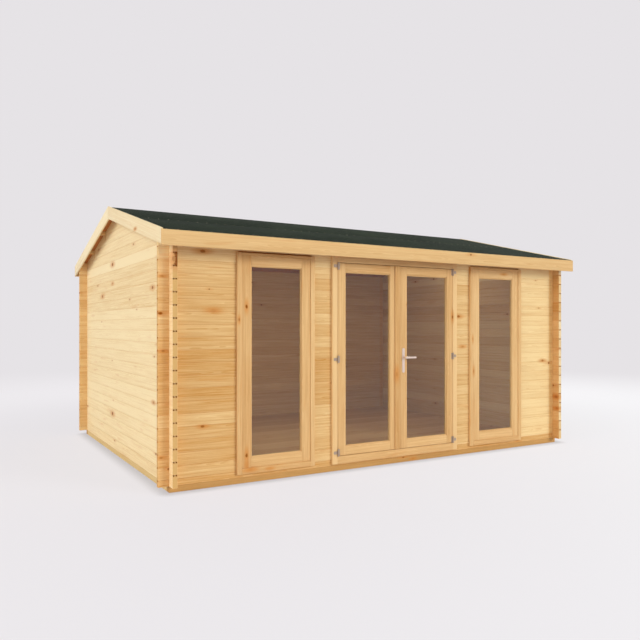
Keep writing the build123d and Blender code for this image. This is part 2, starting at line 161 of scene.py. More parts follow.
def bisect(at: Point, normal: Point, **settings: bool) -> None:
    """Bisect the whole mesh in edit mode."""
    everything()
    bpy.ops.mesh.bisect(plane_co=at, plane_no=normal, **settings)


def pull(*way: float) -> None:
    """Extrude what is selected along a vector."""
    bpy.ops.mesh.extrude_region_move(TRANSFORM_OT_translate={"value": way})


def face_out() -> None:
    """Turn all faces of the mesh in edit mode outwards."""
    everything()
    bpy.ops.mesh.normals_make_consistent(inside=False)


def bevel_edges(item: Piece, test: Test, width: float, segments: int = 1, clamp: bool = False) -> None:
    """Bevel edges of an object.

    Args:
        item: The object.
        test: Takes the middle of an edge.
        width: Width of the bevel.
        segments: Faces across it.
        clamp: Keep bevels from running into each other.
    """
    with editing(item, "EDGE"):
        pick(item, "edges", test)
        bpy.ops.mesh.bevel(offset=width, segments=segments, affect="EDGES", clamp_overlap=clamp)


def smooth(item: Piece, degrees: float) -> Piece:
    """Shade a piece smoothly.

    Args:
        item: The piece.
        degrees: Angle between faces, up to which they are smooth.

    Returns:
        The same piece.
    """
    only(item)
    bpy.ops.object.shade_smooth_by_angle(angle=math.radians(degrees))
    return item


def linked(name: str, data: bpy.types.ID) -> Piece:
    """New object in the scene.

    Args:
        name: Its name.
        data: Its mesh, light or camera.

    Returns:
        The object.
    """
    made = bpy.data.objects.new(name, data)
    bpy.context.scene.collection.objects.link(made)
    return made


def copy_of(item: Piece, name: str, place_at: Matrix = Matrix.Identity(4)) -> Piece:
    """Copy of a piece with its own mesh.

    Args:
        item: The piece.
        name: Name of the copy.
        place_at: How far it is moved.

    Returns:
        The copy.
    """
    made = linked(name, item.data.copy())
    made.data.transform(place_at)
    return made


def joined(name: str, items: Sequence[Piece]) -> Piece:
    """One object made of several.

    Args:
        name: Its name.
        items: The objects, which are used up.

    Returns:
        The object.
    """
    only(*items)
    if len(items) > 1:
        bpy.ops.object.join()
    items[0].name = items[0].data.name = name
    return items[0]


def primitive(kind: str, scale: Sequence[float] = (1, 1, 1), **settings: object) -> Piece:
    """Primitive with its place, turn and size in its mesh.

    Args:
        kind: Its operator, such as cube.
        scale: Its size along each axis.
        settings: Settings of the operator.

    Returns:
        The object.
    """
    getattr(bpy.ops.mesh, "primitive_" + kind + "_add")(**settings)
    item = bpy.context.object
    item.scale = scale
    only(item)
    bpy.ops.object.transform_apply(location=True, rotation=True, scale=True)
    return item


def block(low: Sequence[float], high: Sequence[float]) -> Piece:
    """Cube primitive between two corners."""
    return primitive("cube", [b - a for a, b in zip(low, high)], size=1,
                     location=[(a + b) / 2 for a, b in zip(low, high)])


def apply_modifier(item: Piece, kind: str, **settings: object) -> None:
    """Add a modifier to a piece and apply it.

    Args:
        item: The piece.
        kind: Type of the modifier.
        settings: Its settings.
    """
    only(item)
    made = item.modifiers.new(kind, kind)
    for key, value in settings.items():
        setattr(made, key, value)
    bpy.ops.object.modifier_apply(modifier=made.name)


def soften(item: Piece, width: float, segments: int = 2, angle: float = 30) -> Piece:
    """Round the arrises of a piece and shade its small faces smoothly.

    Args:
        item: The piece.
        width: Width of the rounding.
        segments: Faces across it.
        angle: Edges sharper than this many degrees are rounded.

    Returns:
        The same piece.
    """
    apply_modifier(item, "BEVEL", width=width, segments=segments, limit_method="ANGLE",
                   angle_limit=math.radians(angle), use_clamp_overlap=True)
    return smooth(item, 40)


def cut(item: Piece, boxes: Sequence[tuple[Sequence[float], Sequence[float]]]) -> None:
    """Cut boxes out of a piece.

    Args:
        item: The piece.
        boxes: Lowest and highest corners, clear of each other.
    """
    tool = joined("cutter", [block(low, high) for low, high in boxes])
    apply_modifier(item, "BOOLEAN", operation="DIFFERENCE", solver="EXACT", object=tool)
    bpy.data.objects.remove(tool)


def mark_board(item: Piece, seed: float, tone: float) -> Piece:
    """Write a board's own middle, seed and tone into its mesh, for its grain.

    Args:
        item: One board.
        seed: Number that sets its figure.
        tone: Its shade, from -1 pale to 1 deep.

    Returns:
        The same board.
    """
    corners = [vertex.co for vertex in item.data.vertices]
    middle = [(min(c[i] for c in corners) + max(c[i] for c in corners)) / 2 for i in range(3)]
    for name, kind, key, value in (("board_middle", "FLOAT_VECTOR", "vector", middle),
                                   ("board_seed", "FLOAT", "value", [seed]),
                                   ("board_tone", "FLOAT", "value", [tone])):
        attribute = item.data.attributes.get(name) or item.data.attributes.new(name, kind, "POINT")
        attribute.data.foreach_set(key, value * len(corners))
    return item


def any_board(item: Piece, seeds: random.Random, spread: float, middle: float = 0.0) -> Piece:
    """Mark a board with a random figure, and a tone within a spread of a middle one."""
    return mark_board(item, seeds.uniform(0, FIGURES), middle + seeds.uniform(-spread, spread))


def repeated(name: str, template: Piece, places: Sequence[Matrix], seeds: random.Random | None = None,
             spread: float = 0.0) -> Piece:
    """One piece of copies of a template, which is used up.

    Args:
        name: Name of the piece.
        template: What is copied.
        places: Where each copy goes.
        seeds: Source of the figures, for boards.
        spread: How far the boards' tones differ.

    Returns:
        The piece.
    """
    made = [copy_of(template, name, place_at) for place_at in places]
    if seeds:
        for item in made:
            any_board(item, seeds, spread)
    bpy.data.objects.remove(template)
    return joined(name, made)


def dress(item: Piece, finish: str) -> None:
    """Give a piece its finish.

    Args:
        item: The piece.
        finish: Name of its finish.
    """
    item.data.materials.clear()
    item.data.materials.append(FINISHES[finish])


def place(item: Piece, body: str, slot: str, finish: str, *stands_for: str) -> None:
    """Dress a finished piece, and put it on the body that carries it.

    Args:
        item: The piece.
        body: CAD body it rides on.
        slot: Material slot of the record; not used.
        finish: Name of its finish.
        stands_for: CAD nodes that it replaces.
    """
    dress(item, finish)
    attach(item, body)
    if stands_for:
        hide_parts(*stands_for)
    LOG.info("%s: %d faces on %s", item.name, len(item.data.polygons), body)


def plane_node(node: str, body: str, slot: str, finish: str, width: float, seeds: random.Random,
               spread: float = 0.5, segments: int = 2, middle: float = 0.0) -> None:
    """Put a copy in a node's place, with rounded arrises and a figure of its own for every board.

    Args:
        node: The CAD node.
        body: CAD body it rides on.
        slot: Material slot of the record.
        finish: Name of its finish.
        width: Width of the rounding.
        seeds: Source of the figures.
        spread: How far the boards' tones differ.
        segments: Faces across the rounding.
        middle: Middle of the tones.
    """
    with editing(copy_of(frame["nodes"][node], node + "_planed"), "VERT"):
        everything()
        bpy.ops.mesh.remove_doubles(threshold=1e-5)
        bpy.ops.mesh.dissolve_limited(angle_limit=math.radians(1))
        bpy.ops.mesh.separate(type="LOOSE")
    boards = sorted(bpy.context.selected_objects,
                    key=lambda item: tuple(round(c, 4) for c in item.data.vertices[0].co))
    for board in boards:
        any_board(soften(board, width, segments), seeds, spread, middle)
    place(joined(node + "_planed", boards), body, slot, finish, node)


def screw(foot: Point, radius: float, way: int = -1) -> Piece:
    """Screw head with a recess, on a face across Y.

    Args:
        foot: Middle of its foot.
        radius: Radius of the head.
        way: -1 where it looks to -Y, +1 to +Y.

    Returns:
        The head.
    """
    rise = radius * 0.42
    item = primitive("cylinder", vertices=16, radius=radius, depth=rise, rotation=LYING,
                     location=(foot[0], foot[1] + way * rise / 2, foot[2]))
    with editing(item):
        pick(item, "faces", lambda c: abs(c.y - foot[1] - way * rise) < 1e-5)
        bpy.ops.mesh.inset(thickness=radius * 0.25)
        bpy.ops.transform.translate(value=(0, way * rise * 0.25, 0))
        bpy.ops.mesh.inset(thickness=radius * 0.35)
        pull(0, -way * rise * 0.7, 0)
    return item


# Materials


@dataclass(frozen=True)
class Value:
    """Output of a node; arithmetic on it adds Math nodes."""

    graph: "Graph"
    socket: bpy.types.NodeSocket

    def __add__(self, other: object) -> "Value":
        """Sum."""
        return self.graph.math("ADD", self, other)

    def __sub__(self, other: object) -> "Value":
        """Difference."""
        return self.graph.math("SUBTRACT", self, other)

    def __rsub__(self, other: object) -> "Value":
        """Difference from a number."""
        return self.graph.math("SUBTRACT", other, self)

    def __mul__(self, other: object) -> "Value":
        """Product."""
        return self.graph.math("MULTIPLY", self, other)

    def __truediv__(self, other: object) -> "Value":
        """Quotient."""
        return self.graph.math("DIVIDE", self, other)

    def __abs__(self) -> "Value":
        """Absolute value."""
        return self.graph.math("ABSOLUTE", self)


@dataclass
class Graph:
    """Builder of one node tree. What goes into a node is a Value, an output socket or a constant."""

    tree: Tree

    def node(self, kind: str, inputs: dict | None = None, **settings: object) -> Node:
        """New node.

        Args:
            kind: Its type.
            inputs: What goes in, by name or number.
            settings: Its settings.

        Returns:
            The node.
        """
        made = self.tree.nodes.new("ShaderNode" + kind)
        for key, value in settings.items():
            setattr(made, key, value)
        self.put(made, inputs or {})
        return made

    def put(self, node: Node, inputs: dict) -> None:
        """Link or set the inputs of a node.

        Args:
            node: The node.
            inputs: What goes in, by name or number.
        """
        for key, value in inputs.items():
            socket = node.inputs[key]
            value = value.socket if isinstance(value, Value) else value
            if isinstance(value, bpy.types.NodeSocket):
                self.tree.links.new(value, socket)
            elif value is not None:
                socket.default_value = (*value, 1.0) if socket.type == "RGBA" else value

    def math(self, operation: str, *values: object) -> Value:
        """Result of a Math node."""
        return Value(self, self.node("Math", dict(enumerate(values)), operation=operation).outputs[0])

    def vector(self, operation: str, *values: object) -> Value:
        """Result of a Vector Math node."""
        made = self.node("VectorMath", dict(enumerate(values)), operation=operation)
        return Value(self, made.outputs["Value" if operation in ("LENGTH", "DOT_PRODUCT") else "Vector"])

    def combine(self, *values: object) -> Value:
        """Vector from three values."""
        return Value(self, self.node("CombineXYZ", dict(enumerate(values))).outputs[0])

    def split(self, vector: object) -> tuple[Value, ...]:
        """The three values of a vector or colour."""
        return tuple(Value(self, output) for output in self.node("SeparateXYZ", {0: vector}).outputs)

    def where(self) -> bpy.types.NodeSocket:
        """Place on the object, in metres."""
        return self.node("TexCoord").outputs["Object"]

    def attribute(self, name: str) -> bpy.types.bpy_prop_collection:
        """Outputs of a mesh attribute's node."""
        return self.node("Attribute", attribute_type="GEOMETRY", attribute_name=name).outputs

    def noise(self, vector: object, scale: float, detail: float = 2, rough: float = 0.5,
              stretch: Point | None = None, output: str = "Fac") -> Value:
        """Noise texture.

        Args:
            vector: Where it is read.
            scale: Its scale.
            detail: Octaves.
            rough: Share of the finer octaves.
            stretch: How much the place is multiplied by first.
            output: Fac or Color.

        Returns:
            Its output.
        """
        if stretch:
            vector = self.vector("MULTIPLY", vector, stretch)
        made = self.node("TexNoise", {"Vector": vector, "Scale": scale, "Detail": detail, "Roughness": rough},
                         noise_dimensions="3D")
        return Value(self, made.outputs[output])

    def cells(self, vector: object, scale: float, space: str = "3D", loose: float = 1.0) -> Node:
        """Voronoi texture node, whose cells leave their grid by a share."""
        return self.node("TexVoronoi", {"Vector": vector, "Scale": scale, "Randomness": loose},
                         voronoi_dimensions=space, feature="F1")

    def ramp(self, value: object, low: object, high: object, start: object = 0.0, end: object = 1.0) -> Value:
        """Value mapped smoothly from one range to another.

        Args:
            value: The input.
            low: Where the change starts.
            high: Where it ends.
            start: Result at low.
            end: Result at high.

        Returns:
            The result.
        """
        made = self.node("MapRange", {"Value": value, "From Min": low, "From Max": high, "To Min": start,
                                      "To Max": end}, interpolation_type="SMOOTHSTEP")
        return Value(self, made.outputs["Result"])

    def mix(self, share: object, a: object, b: object, blend: str = "MIX") -> Value:
        """Colour with a share of a second one."""
        made = self.node("Mix", {0: share, 6: a, 7: b}, data_type="RGBA", blend_type=blend, clamp_factor=True)
        return Value(self, made.outputs[2])

    def relief(self, shader: Node, height: object, strength: float, distance: float) -> None:
        """Bump on a shader."""
        made = self.node("Bump", {"Strength": strength, "Distance": distance, "Height": height})
        self.put(shader, {"Normal": made.outputs[0]})

    def show(self, share: object, first: Node, second: Node, output: str) -> None:
        """Send a shader with a share of a second one to the output."""
        made = self.node("MixShader", {0: share, 1: first.outputs[0], 2: second.outputs[0]})
        self.put(self.tree.nodes[output], {"Surface": made.outputs[0]})

    def seen(self) -> Value:
        """1 for rays from the camera and in reflections, which see a studio surface's own colour."""
        rays = self.node("LightPath").outputs
        return self.math("MAXIMUM", rays["Is Camera Ray"], rays["Is Glossy Ray"])


def new_group(name: str, inputs: dict[str, object], outputs: Sequence[str]) -> tuple[Graph, dict[str, Value], Node]:
    """Shader node group with its sockets.

    Args:
        name: Name of the group.
        inputs: Default of each input: None for a vector, three values for a colour, or a number.
        outputs: Name of each output, where Color is a colour.

    Returns:
        The group's builder, its inputs by name, and its output node.
    """
    tree = bpy.data.node_groups.new(name, "ShaderNodeTree")
    for label, default in inputs.items():
        kind = "Vector" if default is None else "Float" if isinstance(default, float) else "Color"
        socket = tree.interface.new_socket(label, in_out="INPUT", socket_type="NodeSocket" + kind)
        if default is not None:
            socket.default_value = (*default, 1.0) if kind == "Color" else default
    for label in outputs:
        tree.interface.new_socket(label, in_out="OUTPUT",
                                  socket_type="NodeSocket" + ("Color" if label == "Color" else "Float"))
    graph = Graph(tree)
    source, drain = tree.nodes.new("NodeGroupInput"), tree.nodes.new("NodeGroupOutput")
    return graph, {socket.name: Value(graph, socket) for socket in source.outputs if socket.name}, drain


@cache
def board_group() -> Tree:
    """Softwood figure: growth rings round a pith, fibre, stain and knots.

    Returns:
        The node group. Its vector runs along, across and through the board, in metres.
    """
    g, given, out = new_group(
        "softwood_board",
        {"Vector": None, "Seed": 0.0, "Tone": 0.0, "Pale": srgb(240, 205, 150), "Deep": srgb(205, 150, 90),
         "Knot": srgb(140, 80, 40), "Blush": srgb(212, 138, 72), "Ring Spacing": 0.0035, "Knots": 0.5,
         "Knot Pitch": 0.42, "Board Width": 0.13},
        ("Color", "Height", "Fibre"))
    seed, knots, pitch, width = (given[name] for name in ("Seed", "Knots", "Knot Pitch", "Board Width"))
    dice = g.node("TexWhiteNoise", {"W": seed}, noise_dimensions="1D")
    first, second, third = g.split(dice.outputs["Color"])
    along, across, through = g.split(given["Vector"])
    moved = g.vector("ADD", given["Vector"], g.combine(seed, seed * 1.7, seed * 0.37))
    # Knots: one place in each cell along the board, where some cells have none.
    cell = g.combine((along + seed) / pitch, across / width + 0.5, 0.0)
    spots = g.cells(cell, 1.0, "2D", 0.85).outputs
    away_along, away_across, _ = g.split(g.vector("SUBTRACT", cell, spots["Position"]))
    size_dice, chance, _ = g.split(spots["Color"])
    radius = g.ramp(chance, 1.0 - knots, 1.001 - knots) * (size_dice * 0.009 + 0.0045)
    there = g.math("GREATER_THAN", radius, 0.001)
    beside_x, beside_y = away_along * pitch * 0.8, away_across * width
    wobble = g.noise(moved, 60, 1)
    gap = g.vector("LENGTH", g.combine(beside_x, beside_y, 0.0)) + (wobble - 0.5) * 0.005
    knot = g.ramp(gap, radius * 0.75, radius * 1.05, 1.0, 0.0) * there
    reach = g.vector("LENGTH", g.combine(beside_x * 0.28, beside_y, 0.0))
    halo = g.ramp(reach, 0.0, radius * 2.6, 1.0, 0.0) * there
    # Growth rings round a pith beside the board, pushed aside by the knots.
    warp_across, warp_through, _ = g.split(g.noise(moved, 1.3, 2, stretch=(1.0, 4.0, 4.0), output="Color"))
    ring_across = across - (first - 0.5) * 0.11 + (warp_across - 0.5) * 0.05
    ring_through = through + (second * 0.055 + 0.022) + (warp_through - 0.5) * 0.035
    from_pith = g.vector("LENGTH", g.combine(0.0, ring_across, ring_through)) + halo * 0.006
    rings = g.math("POWER", g.math("FRACT", from_pith / given["Ring Spacing"]), 2.2)
    fibre = g.noise(moved, 1.0, 2, 0.6, (9.0, 420.0, 420.0))
    stain = g.noise(moved, 1.0, 3, 0.55, (1.1, 9.0, 9.0))
    streak = g.noise(moved, 1.0, 3, 0.6, (1.6, 88.0, 88.0))
    flush = g.noise(moved, 1.0, 2, 0.5, (2.2, 15.0, 15.0))
    share = rings * 0.30 + 0.17 + given["Tone"] * 0.45
    for layer, weight in ((fibre, 0.30), (streak, 0.95), (stain, 0.40), (third, 0.08)):
        share = share + (layer - 0.5) * weight
    wood = g.mix(share, given["Pale"], given["Deep"])
    wood = g.mix(g.ramp(flush, 0.60, 0.82, 0.0, 0.35), wood, given["Blush"])
    wood = g.mix(halo * 0.5, wood, given["Blush"])
    g.put(out, {"Color": g.mix(knot * (wobble * 0.5 + 0.62), wood, given["Knot"]),
                "Height": fibre * 0.5 - rings * 0.35 - knot * 0.25, "Fibre": fibre})
    return g.tree


@cache
def placed_knot_group() -> Tree:
    """One knot at a known place, added to those before it.

    Returns:
        The node group.
    """
    g, given, out = new_group(
        "placed_knot", {"Vector": None, "Place": None, "Squeeze": None, "Draw": None, "Radius": 0.01, "Depth": 1.0,
                        "Dark Before": 0.0, "Blush Before": 0.0}, ("Dark", "Blush"))
    away, radius = g.vector("SUBTRACT", given["Vector"], given["Place"]), given["Radius"]
    gap = g.vector("LENGTH", g.vector("MULTIPLY", away, given["Squeeze"])) + (
        g.noise(given["Vector"], 70, 1) - 0.5) * 0.008
    core = g.ramp(gap, radius * 0.45, radius, 1.0, 0.0)
    reach = g.vector("LENGTH", g.vector("MULTIPLY", away, given["Draw"]))
    rim = g.ramp(reach, radius * 0.3, radius * 2.5, 1.0, 0.0)
    g.put(out, {"Dark": g.math("MAXIMUM", core * given["Depth"], given["Dark Before"]),
                "Blush": g.math("MAXIMUM", rim, given["Blush Before"])})
    return g.tree


@cache
def end_grain_group() -> Tree:
    """Mask of the faces across the grain.

    Returns:
        The node group.
    """
    g, given, out = new_group("end_grain", {"Normal": None, "Axis": None}, ("Mask",))
    turn = g.vector("DOT_PRODUCT", given["Normal"], given["Axis"])
    g.put(out, {"Mask": g.ramp(abs(turn), 0.8, 0.95)})
    return g.tree


def new_material(name: str, look: Colour) -> tuple[Material, Graph, Node]:
    """Material with a Principled shader.

    Args:
        name: Its name.
        look: Its plain colour.

    Returns:
        The material, its builder and the shader node.
    """
    made = bpy.data.materials.new(name)
    made.use_nodes = True
    made.diffuse_color = (*look, 1.0)
    return made, Graph(made.node_tree), made.node_tree.nodes["Principled BSDF"]


@dataclass(frozen=True)
class Knot:
    """Knot that shows at one place, through the board or, when it is round, on its end."""

    x: float
    y: float
    z: float
    radius: float
    depth: float
    round: bool = False


@dataclass(frozen=True)
class Softwood:
    """Finish of planed softwood."""

    name: str
    pale: Colour
    deep: Colour
    knot: Colour = srgb(146, 80, 16)
    blush: Colour = srgb(212, 142, 68)
    # Colour of the faces inside the grooves and channels: painted shade of these recesses.
    groove: Colour = srgb(208, 122, 8)
    grain: Grain = Grain.ALONG_X
    tilt: float = 0.0
    knots: float = 0.16
    knot_pitch: float = 0.42
    board_width: float = 0.13
    ring_spacing: float = 0.0036
    roughness: float = 0.62
    end_shade: float = 0.25
    placed: tuple[Knot, ...] = ()
    ends_from: float = 0.0
    # Multiplies the long-grain faces of the log stubs beyond ends_from: painted light where above 1, painted shade
    # where below 1.
    stub_painted_light: Colour = (1.15, 1.14, 1.18)
    # Painted shadow of the right side wall's stub on the front logs' right ends, from this x on, with its tint.
    painted_shadow_from: float = 0.0
    painted_shadow_tint: Colour = (1.0, 0.88, 0.70)

    def build(self) -> Material:
        """Make the material.

        Returns:
            The material.
        """
        made, g, shader = new_material(self.name, self.pale)
        along, _, through = self.grain.value
        where = g.node("TexCoord").outputs
        beside = dict(zip("XYZ", g.split(where["Object"])))
        local = g.vector("SUBTRACT", where["Object"], g.attribute("board_middle")["Vector"])
        turned = g.node("Mapping", {"Vector": local, "Rotation": (self.tilt, 0, 0)}, vector_type="POINT")
        parts = dict(zip("XYZ", g.split(turned.outputs[0])))
        figure = g.node("Group", {
            "Vector": g.combine(*(parts[axis] for axis in self.grain.value)),
            "Seed": g.attribute("board_seed")["Fac"], "Tone": g.attribute("board_tone")["Fac"],
            "Pale": self.pale, "Deep": self.deep, "Knot": self.knot, "Blush": self.blush,
            "Ring Spacing": self.ring_spacing, "Knots": self.knots, "Knot Pitch": self.knot_pitch,
            "Board Width": self.board_width}, node_tree=board_group())
        ends = g.node("Group", {"Normal": where["Normal"], "Axis": tuple(float(axis == along) for axis in "XYZ")},
                      node_tree=end_grain_group())
        sawn = Value(g, ends.outputs["Mask"])
        colour = g.mix(sawn * self.end_shade, figure.outputs["Color"], self.deep)
        dark, blush = 0.0, 0.0
        for knot in self.placed:
            narrow = ({}, {}) if knot.round else ({along: 0.6, through: 0.2}, {along: 0.32, through: 0.2})
            squeeze = tuple(narrow[0].get(axis, 1.0) for axis in "XYZ")
            draw = tuple(narrow[1].get(axis, 0.6 if knot.round else 1.0) for axis in "XYZ")
            spot = g.node("Group", {"Vector": where["Object"], "Place": (knot.x, knot.y, knot.z),
                                    "Squeeze": squeeze, "Draw": draw, "Radius": knot.radius,
                                    "Depth": knot.depth, "Dark Before": dark, "Blush Before": blush},
                          node_tree=placed_knot_group())
            dark, blush = (Value(g, spot.outputs[name]) for name in ("Dark", "Blush"))
        if self.placed:
            colour = g.mix(dark, g.mix(blush * 0.75, colour, self.blush), self.knot)
        # Painted shadow of the right side wall's stub on the front wall's right end.
        if self.painted_shadow_from:
            corner = g.ramp(beside["X"], self.painted_shadow_from - 0.01, self.painted_shadow_from + 0.01)
            colour = g.mix(corner, colour, self.painted_shadow_tint, "MULTIPLY")
        if self.ends_from:
            # Painted light and shade on the stubs' long-grain faces.
            painted_stub = g.ramp(abs(beside[along]), self.ends_from - 0.004, self.ends_from + 0.004)
            colour = g.mix(painted_stub * (1.0 - sawn), colour, self.stub_painted_light, "MULTIPLY")
            # Painted shade: faces inside the grooves and channels take the groove colour, and the joint chamfers
            # take part of it.
            colour = g.mix(g.attribute("groove_shade")["Fac"], colour, self.groove)
        g.put(shader, {"Base Color": colour, "Specular IOR Level": 0.12,
                       "Roughness": Value(g, figure.outputs["Fibre"]) * 0.2 + (self.roughness - 0.1)})
        g.relief(shader, figure.outputs["Height"], 0.35, 0.0006)
        return made


@dataclass(frozen=True)
class Felt:
    """Finish of mineral roofing felt."""

    name: str = "mineral_felt"
    base: Colour = srgb(36, 44, 35)
    pale: Colour = srgb(60, 70, 54)
    dark: Colour = srgb(16, 21, 16)

    def build(self) -> Material:
        """Make the material.

        Returns:
            The material, with slate granules and faint streaks down the slope.
        """
        made, g, shader = new_material(self.name, self.base)
        where = g.where()
        grit = g.cells(where, 520).outputs
        speck, _, _ = g.split(grit["Color"])
        cloud = g.noise(where, 2.2, 4, 0.6, (1.0, 0.35, 1.0))
        colour = g.mix(g.ramp(speck, 0.62, 1.0, 0.0, 0.75), self.base, self.pale)
        colour = g.mix(g.ramp(speck, 0.35, 0.0, 0.0, 0.65), colour, self.dark)
        colour = g.mix(g.ramp(cloud, 0.42, 0.72, 0.0, 0.35), colour, self.pale)
        g.put(shader, {"Base Color": colour, "Roughness": g.ramp(speck, 0.0, 1.0, 0.95, 0.78),
                       "Specular IOR Level": 0.12})
        g.relief(shader, g.noise(where, 7.0) * 4.0 + grit["Distance"], 0.6, 0.001)
        return made


@dataclass(frozen=True)
class Glazing:
    """Finish of clear float glass."""

    name: str = "float_glass"
    tint: Colour = srgb(238, 240, 236)
    cast: Colour = (0.88, 0.9, 0.88)

    def build(self) -> Material:
        """Make the material.

        Returns:
            The material; lamps reach what is behind it.
        """
        made, g, shader = new_material(self.name, self.tint)
        smear = g.ramp(g.noise(g.where(), 5.0, 3, 0.6), 0.5, 0.9, 0.0, 0.03)
        g.put(shader, {"Base Color": self.tint, "Transmission Weight": 1.0, "IOR": 1.45, "Roughness": smear})
        clear = g.node("BsdfTransparent", {"Color": self.cast})
        g.show(g.node("LightPath").outputs["Is Shadow Ray"], shader, clear, "Material Output")
        return made


@dataclass(frozen=True)
class Steel:
    """Finish of steel fittings."""

    name: str
    colour: Colour
    roughness: float
    metallic: float
    brushed: bool = True

    def build(self) -> Material:
        """Make the material.

        Returns:
            The material, with fine brush lines or zinc flakes.
        """
        made, g, shader = new_material(self.name, self.colour)
        where = g.where()
        lines = (g.noise(where, 1.0, stretch=(40.0, 900.0, 900.0)) if self.brushed
                 else g.split(g.cells(where, 160).outputs["Color"])[0])
        share = lines * 0.5 + g.noise(where, 30.0) * 0.5
        dark = tuple(0.8 * value for value in self.colour)
        g.put(shader, {"Base Color": g.mix(share, self.colour, dark), "Metallic": self.metallic,
                       "Roughness": g.ramp(share, 0.2, 0.8, self.roughness - 0.06, self.roughness + 0.12)})
        g.relief(shader, lines, 0.12, 0.0002)
        return made


LONG_WALL_KNOTS = (
    Knot(-2.150, -1.8075, 2.105, 0.020, 0.80), Knot(-2.152, -1.8075, 0.551, 0.014, 0.80),
    Knot(-2.050, -1.8075, 1.580, 0.020, 0.12), Knot(0.860, -1.8075, 1.551, 0.016, 0.80),
    Knot(0.920, -1.8075, 1.213, 0.014, 0.25), Knot(2.231, -1.8075, 1.021, 0.015, 0.65),
    Knot(-2.532, -1.8075, 1.550, 0.016, 1.00), Knot(-2.508, -1.8075, 1.227, 0.013, 0.40),
    Knot(-2.517, -1.8075, 1.871, 0.012, 0.30), Knot(-2.525, -1.8075, 0.310, 0.012, 0.45),
    Knot(1.800, -1.8075, 0.085, 0.012, 0.50))
SIDE_WALL_KNOTS = (
    Knot(-2.455, 0.300, 0.444, 0.024, 0.90), Knot(-2.455, 0.300, 2.147, 0.024, 0.95),
    Knot(-2.455, -1.306, 1.800, 0.019, 0.80), Knot(-2.455, 0.824, 1.803, 0.022, 0.75),
    Knot(-2.455, -1.338, 0.734, 0.016, 0.40), Knot(-2.455, 0.300, 1.930, 0.016, 0.40),
    Knot(-2.424, -1.9025, 2.058, 0.024, 0.90, True), Knot(-2.418, -1.9025, 2.036, 0.024, 0.95, True),
    Knot(-2.416, -1.9025, 2.014, 0.024, 0.95, True), Knot(-2.418, -1.9025, 1.992, 0.024, 0.95, True),
    Knot(-2.424, -1.9025, 1.970, 0.024, 0.90, True), Knot(-2.440, -1.9025, 2.014, 0.030, 0.38, True))
RIGHT_WALL_KNOTS = (Knot(2.411, -1.860, 0.570, 0.022, 0.40), Knot(2.411, -1.875, 0.430, 0.016, 0.25))
LEVEL_KNOTS = (
    Knot(1.550, -1.8245, 2.050, 0.012, 0.15), Knot(-1.700, -1.8325, 0.125, 0.016, 0.10),
    Knot(-1.500, -1.8325, 0.112, 0.011, 0.00))
UPRIGHT_KNOTS = (
    Knot(-1.735, -1.8245, 1.620, 0.015, 1.00), Knot(-1.735, -1.8245, 0.256, 0.015, 0.90),
    Knot(-1.735, -1.8245, 0.170, 0.016, 0.00),
    Knot(-1.812, -1.8325, 1.500, 0.010, 0.60), Knot(0.748, -1.8325, 1.544, 0.015, 0.70),
    Knot(1.070, -1.8245, 0.933, 0.014, 0.40), Knot(1.055, -1.8245, 1.297, 0.011, 0.25),
    Knot(-0.030, -1.8445, 0.938, 0.020, 0.20), Knot(1.009, -1.8325, 2.077, 0.009, 0.80))
BARGE_KNOTS = (Knot(-2.573, -1.138, 2.357, 0.014, 0.60),)
BASE_KNOTS = (Knot(0.213, -1.8075, 0.024, 0.011, 0.20),)


class Slope(Enum):
    """Slope of the roof, with the way that it falls along Y."""

    front = -1
    rear = 1


@dataclass
class RoofSizes:
    """Sizes of the roof, as in the CAD."""

    pitch: float = math.radians(14.0)
    eaves: float = 2.275
    wall_face: float = 1.8075
    overhang: float = 0.175
    board_thickness: float = 0.018
    deck_thickness: float = 0.019
    deck_reach: float = 2.555

    @property
    def slope(self) -> float:
        """Rise for each metre of run."""
        return math.tan(self.pitch)

    def underside(self, y: float) -> float:
        """Height of the underside of the roof at a distance y from the ridge line."""
        return self.eaves + (self.wall_face - abs(y)) * self.slope

    @property
    def lower_edge(self) -> float:
        """Distance of the roof's lower edge from the ridge line, in plan."""
        return self.wall_face + self.overhang

    def lifted(self, side: Slope, y: float, rise: float) -> tuple[float, float]:
        """Place in y and z at a height over the underside, square to a slope."""
        return side.value * (y + rise * math.sin(self.pitch)), self.underside(y) + rise * math.cos(self.pitch)


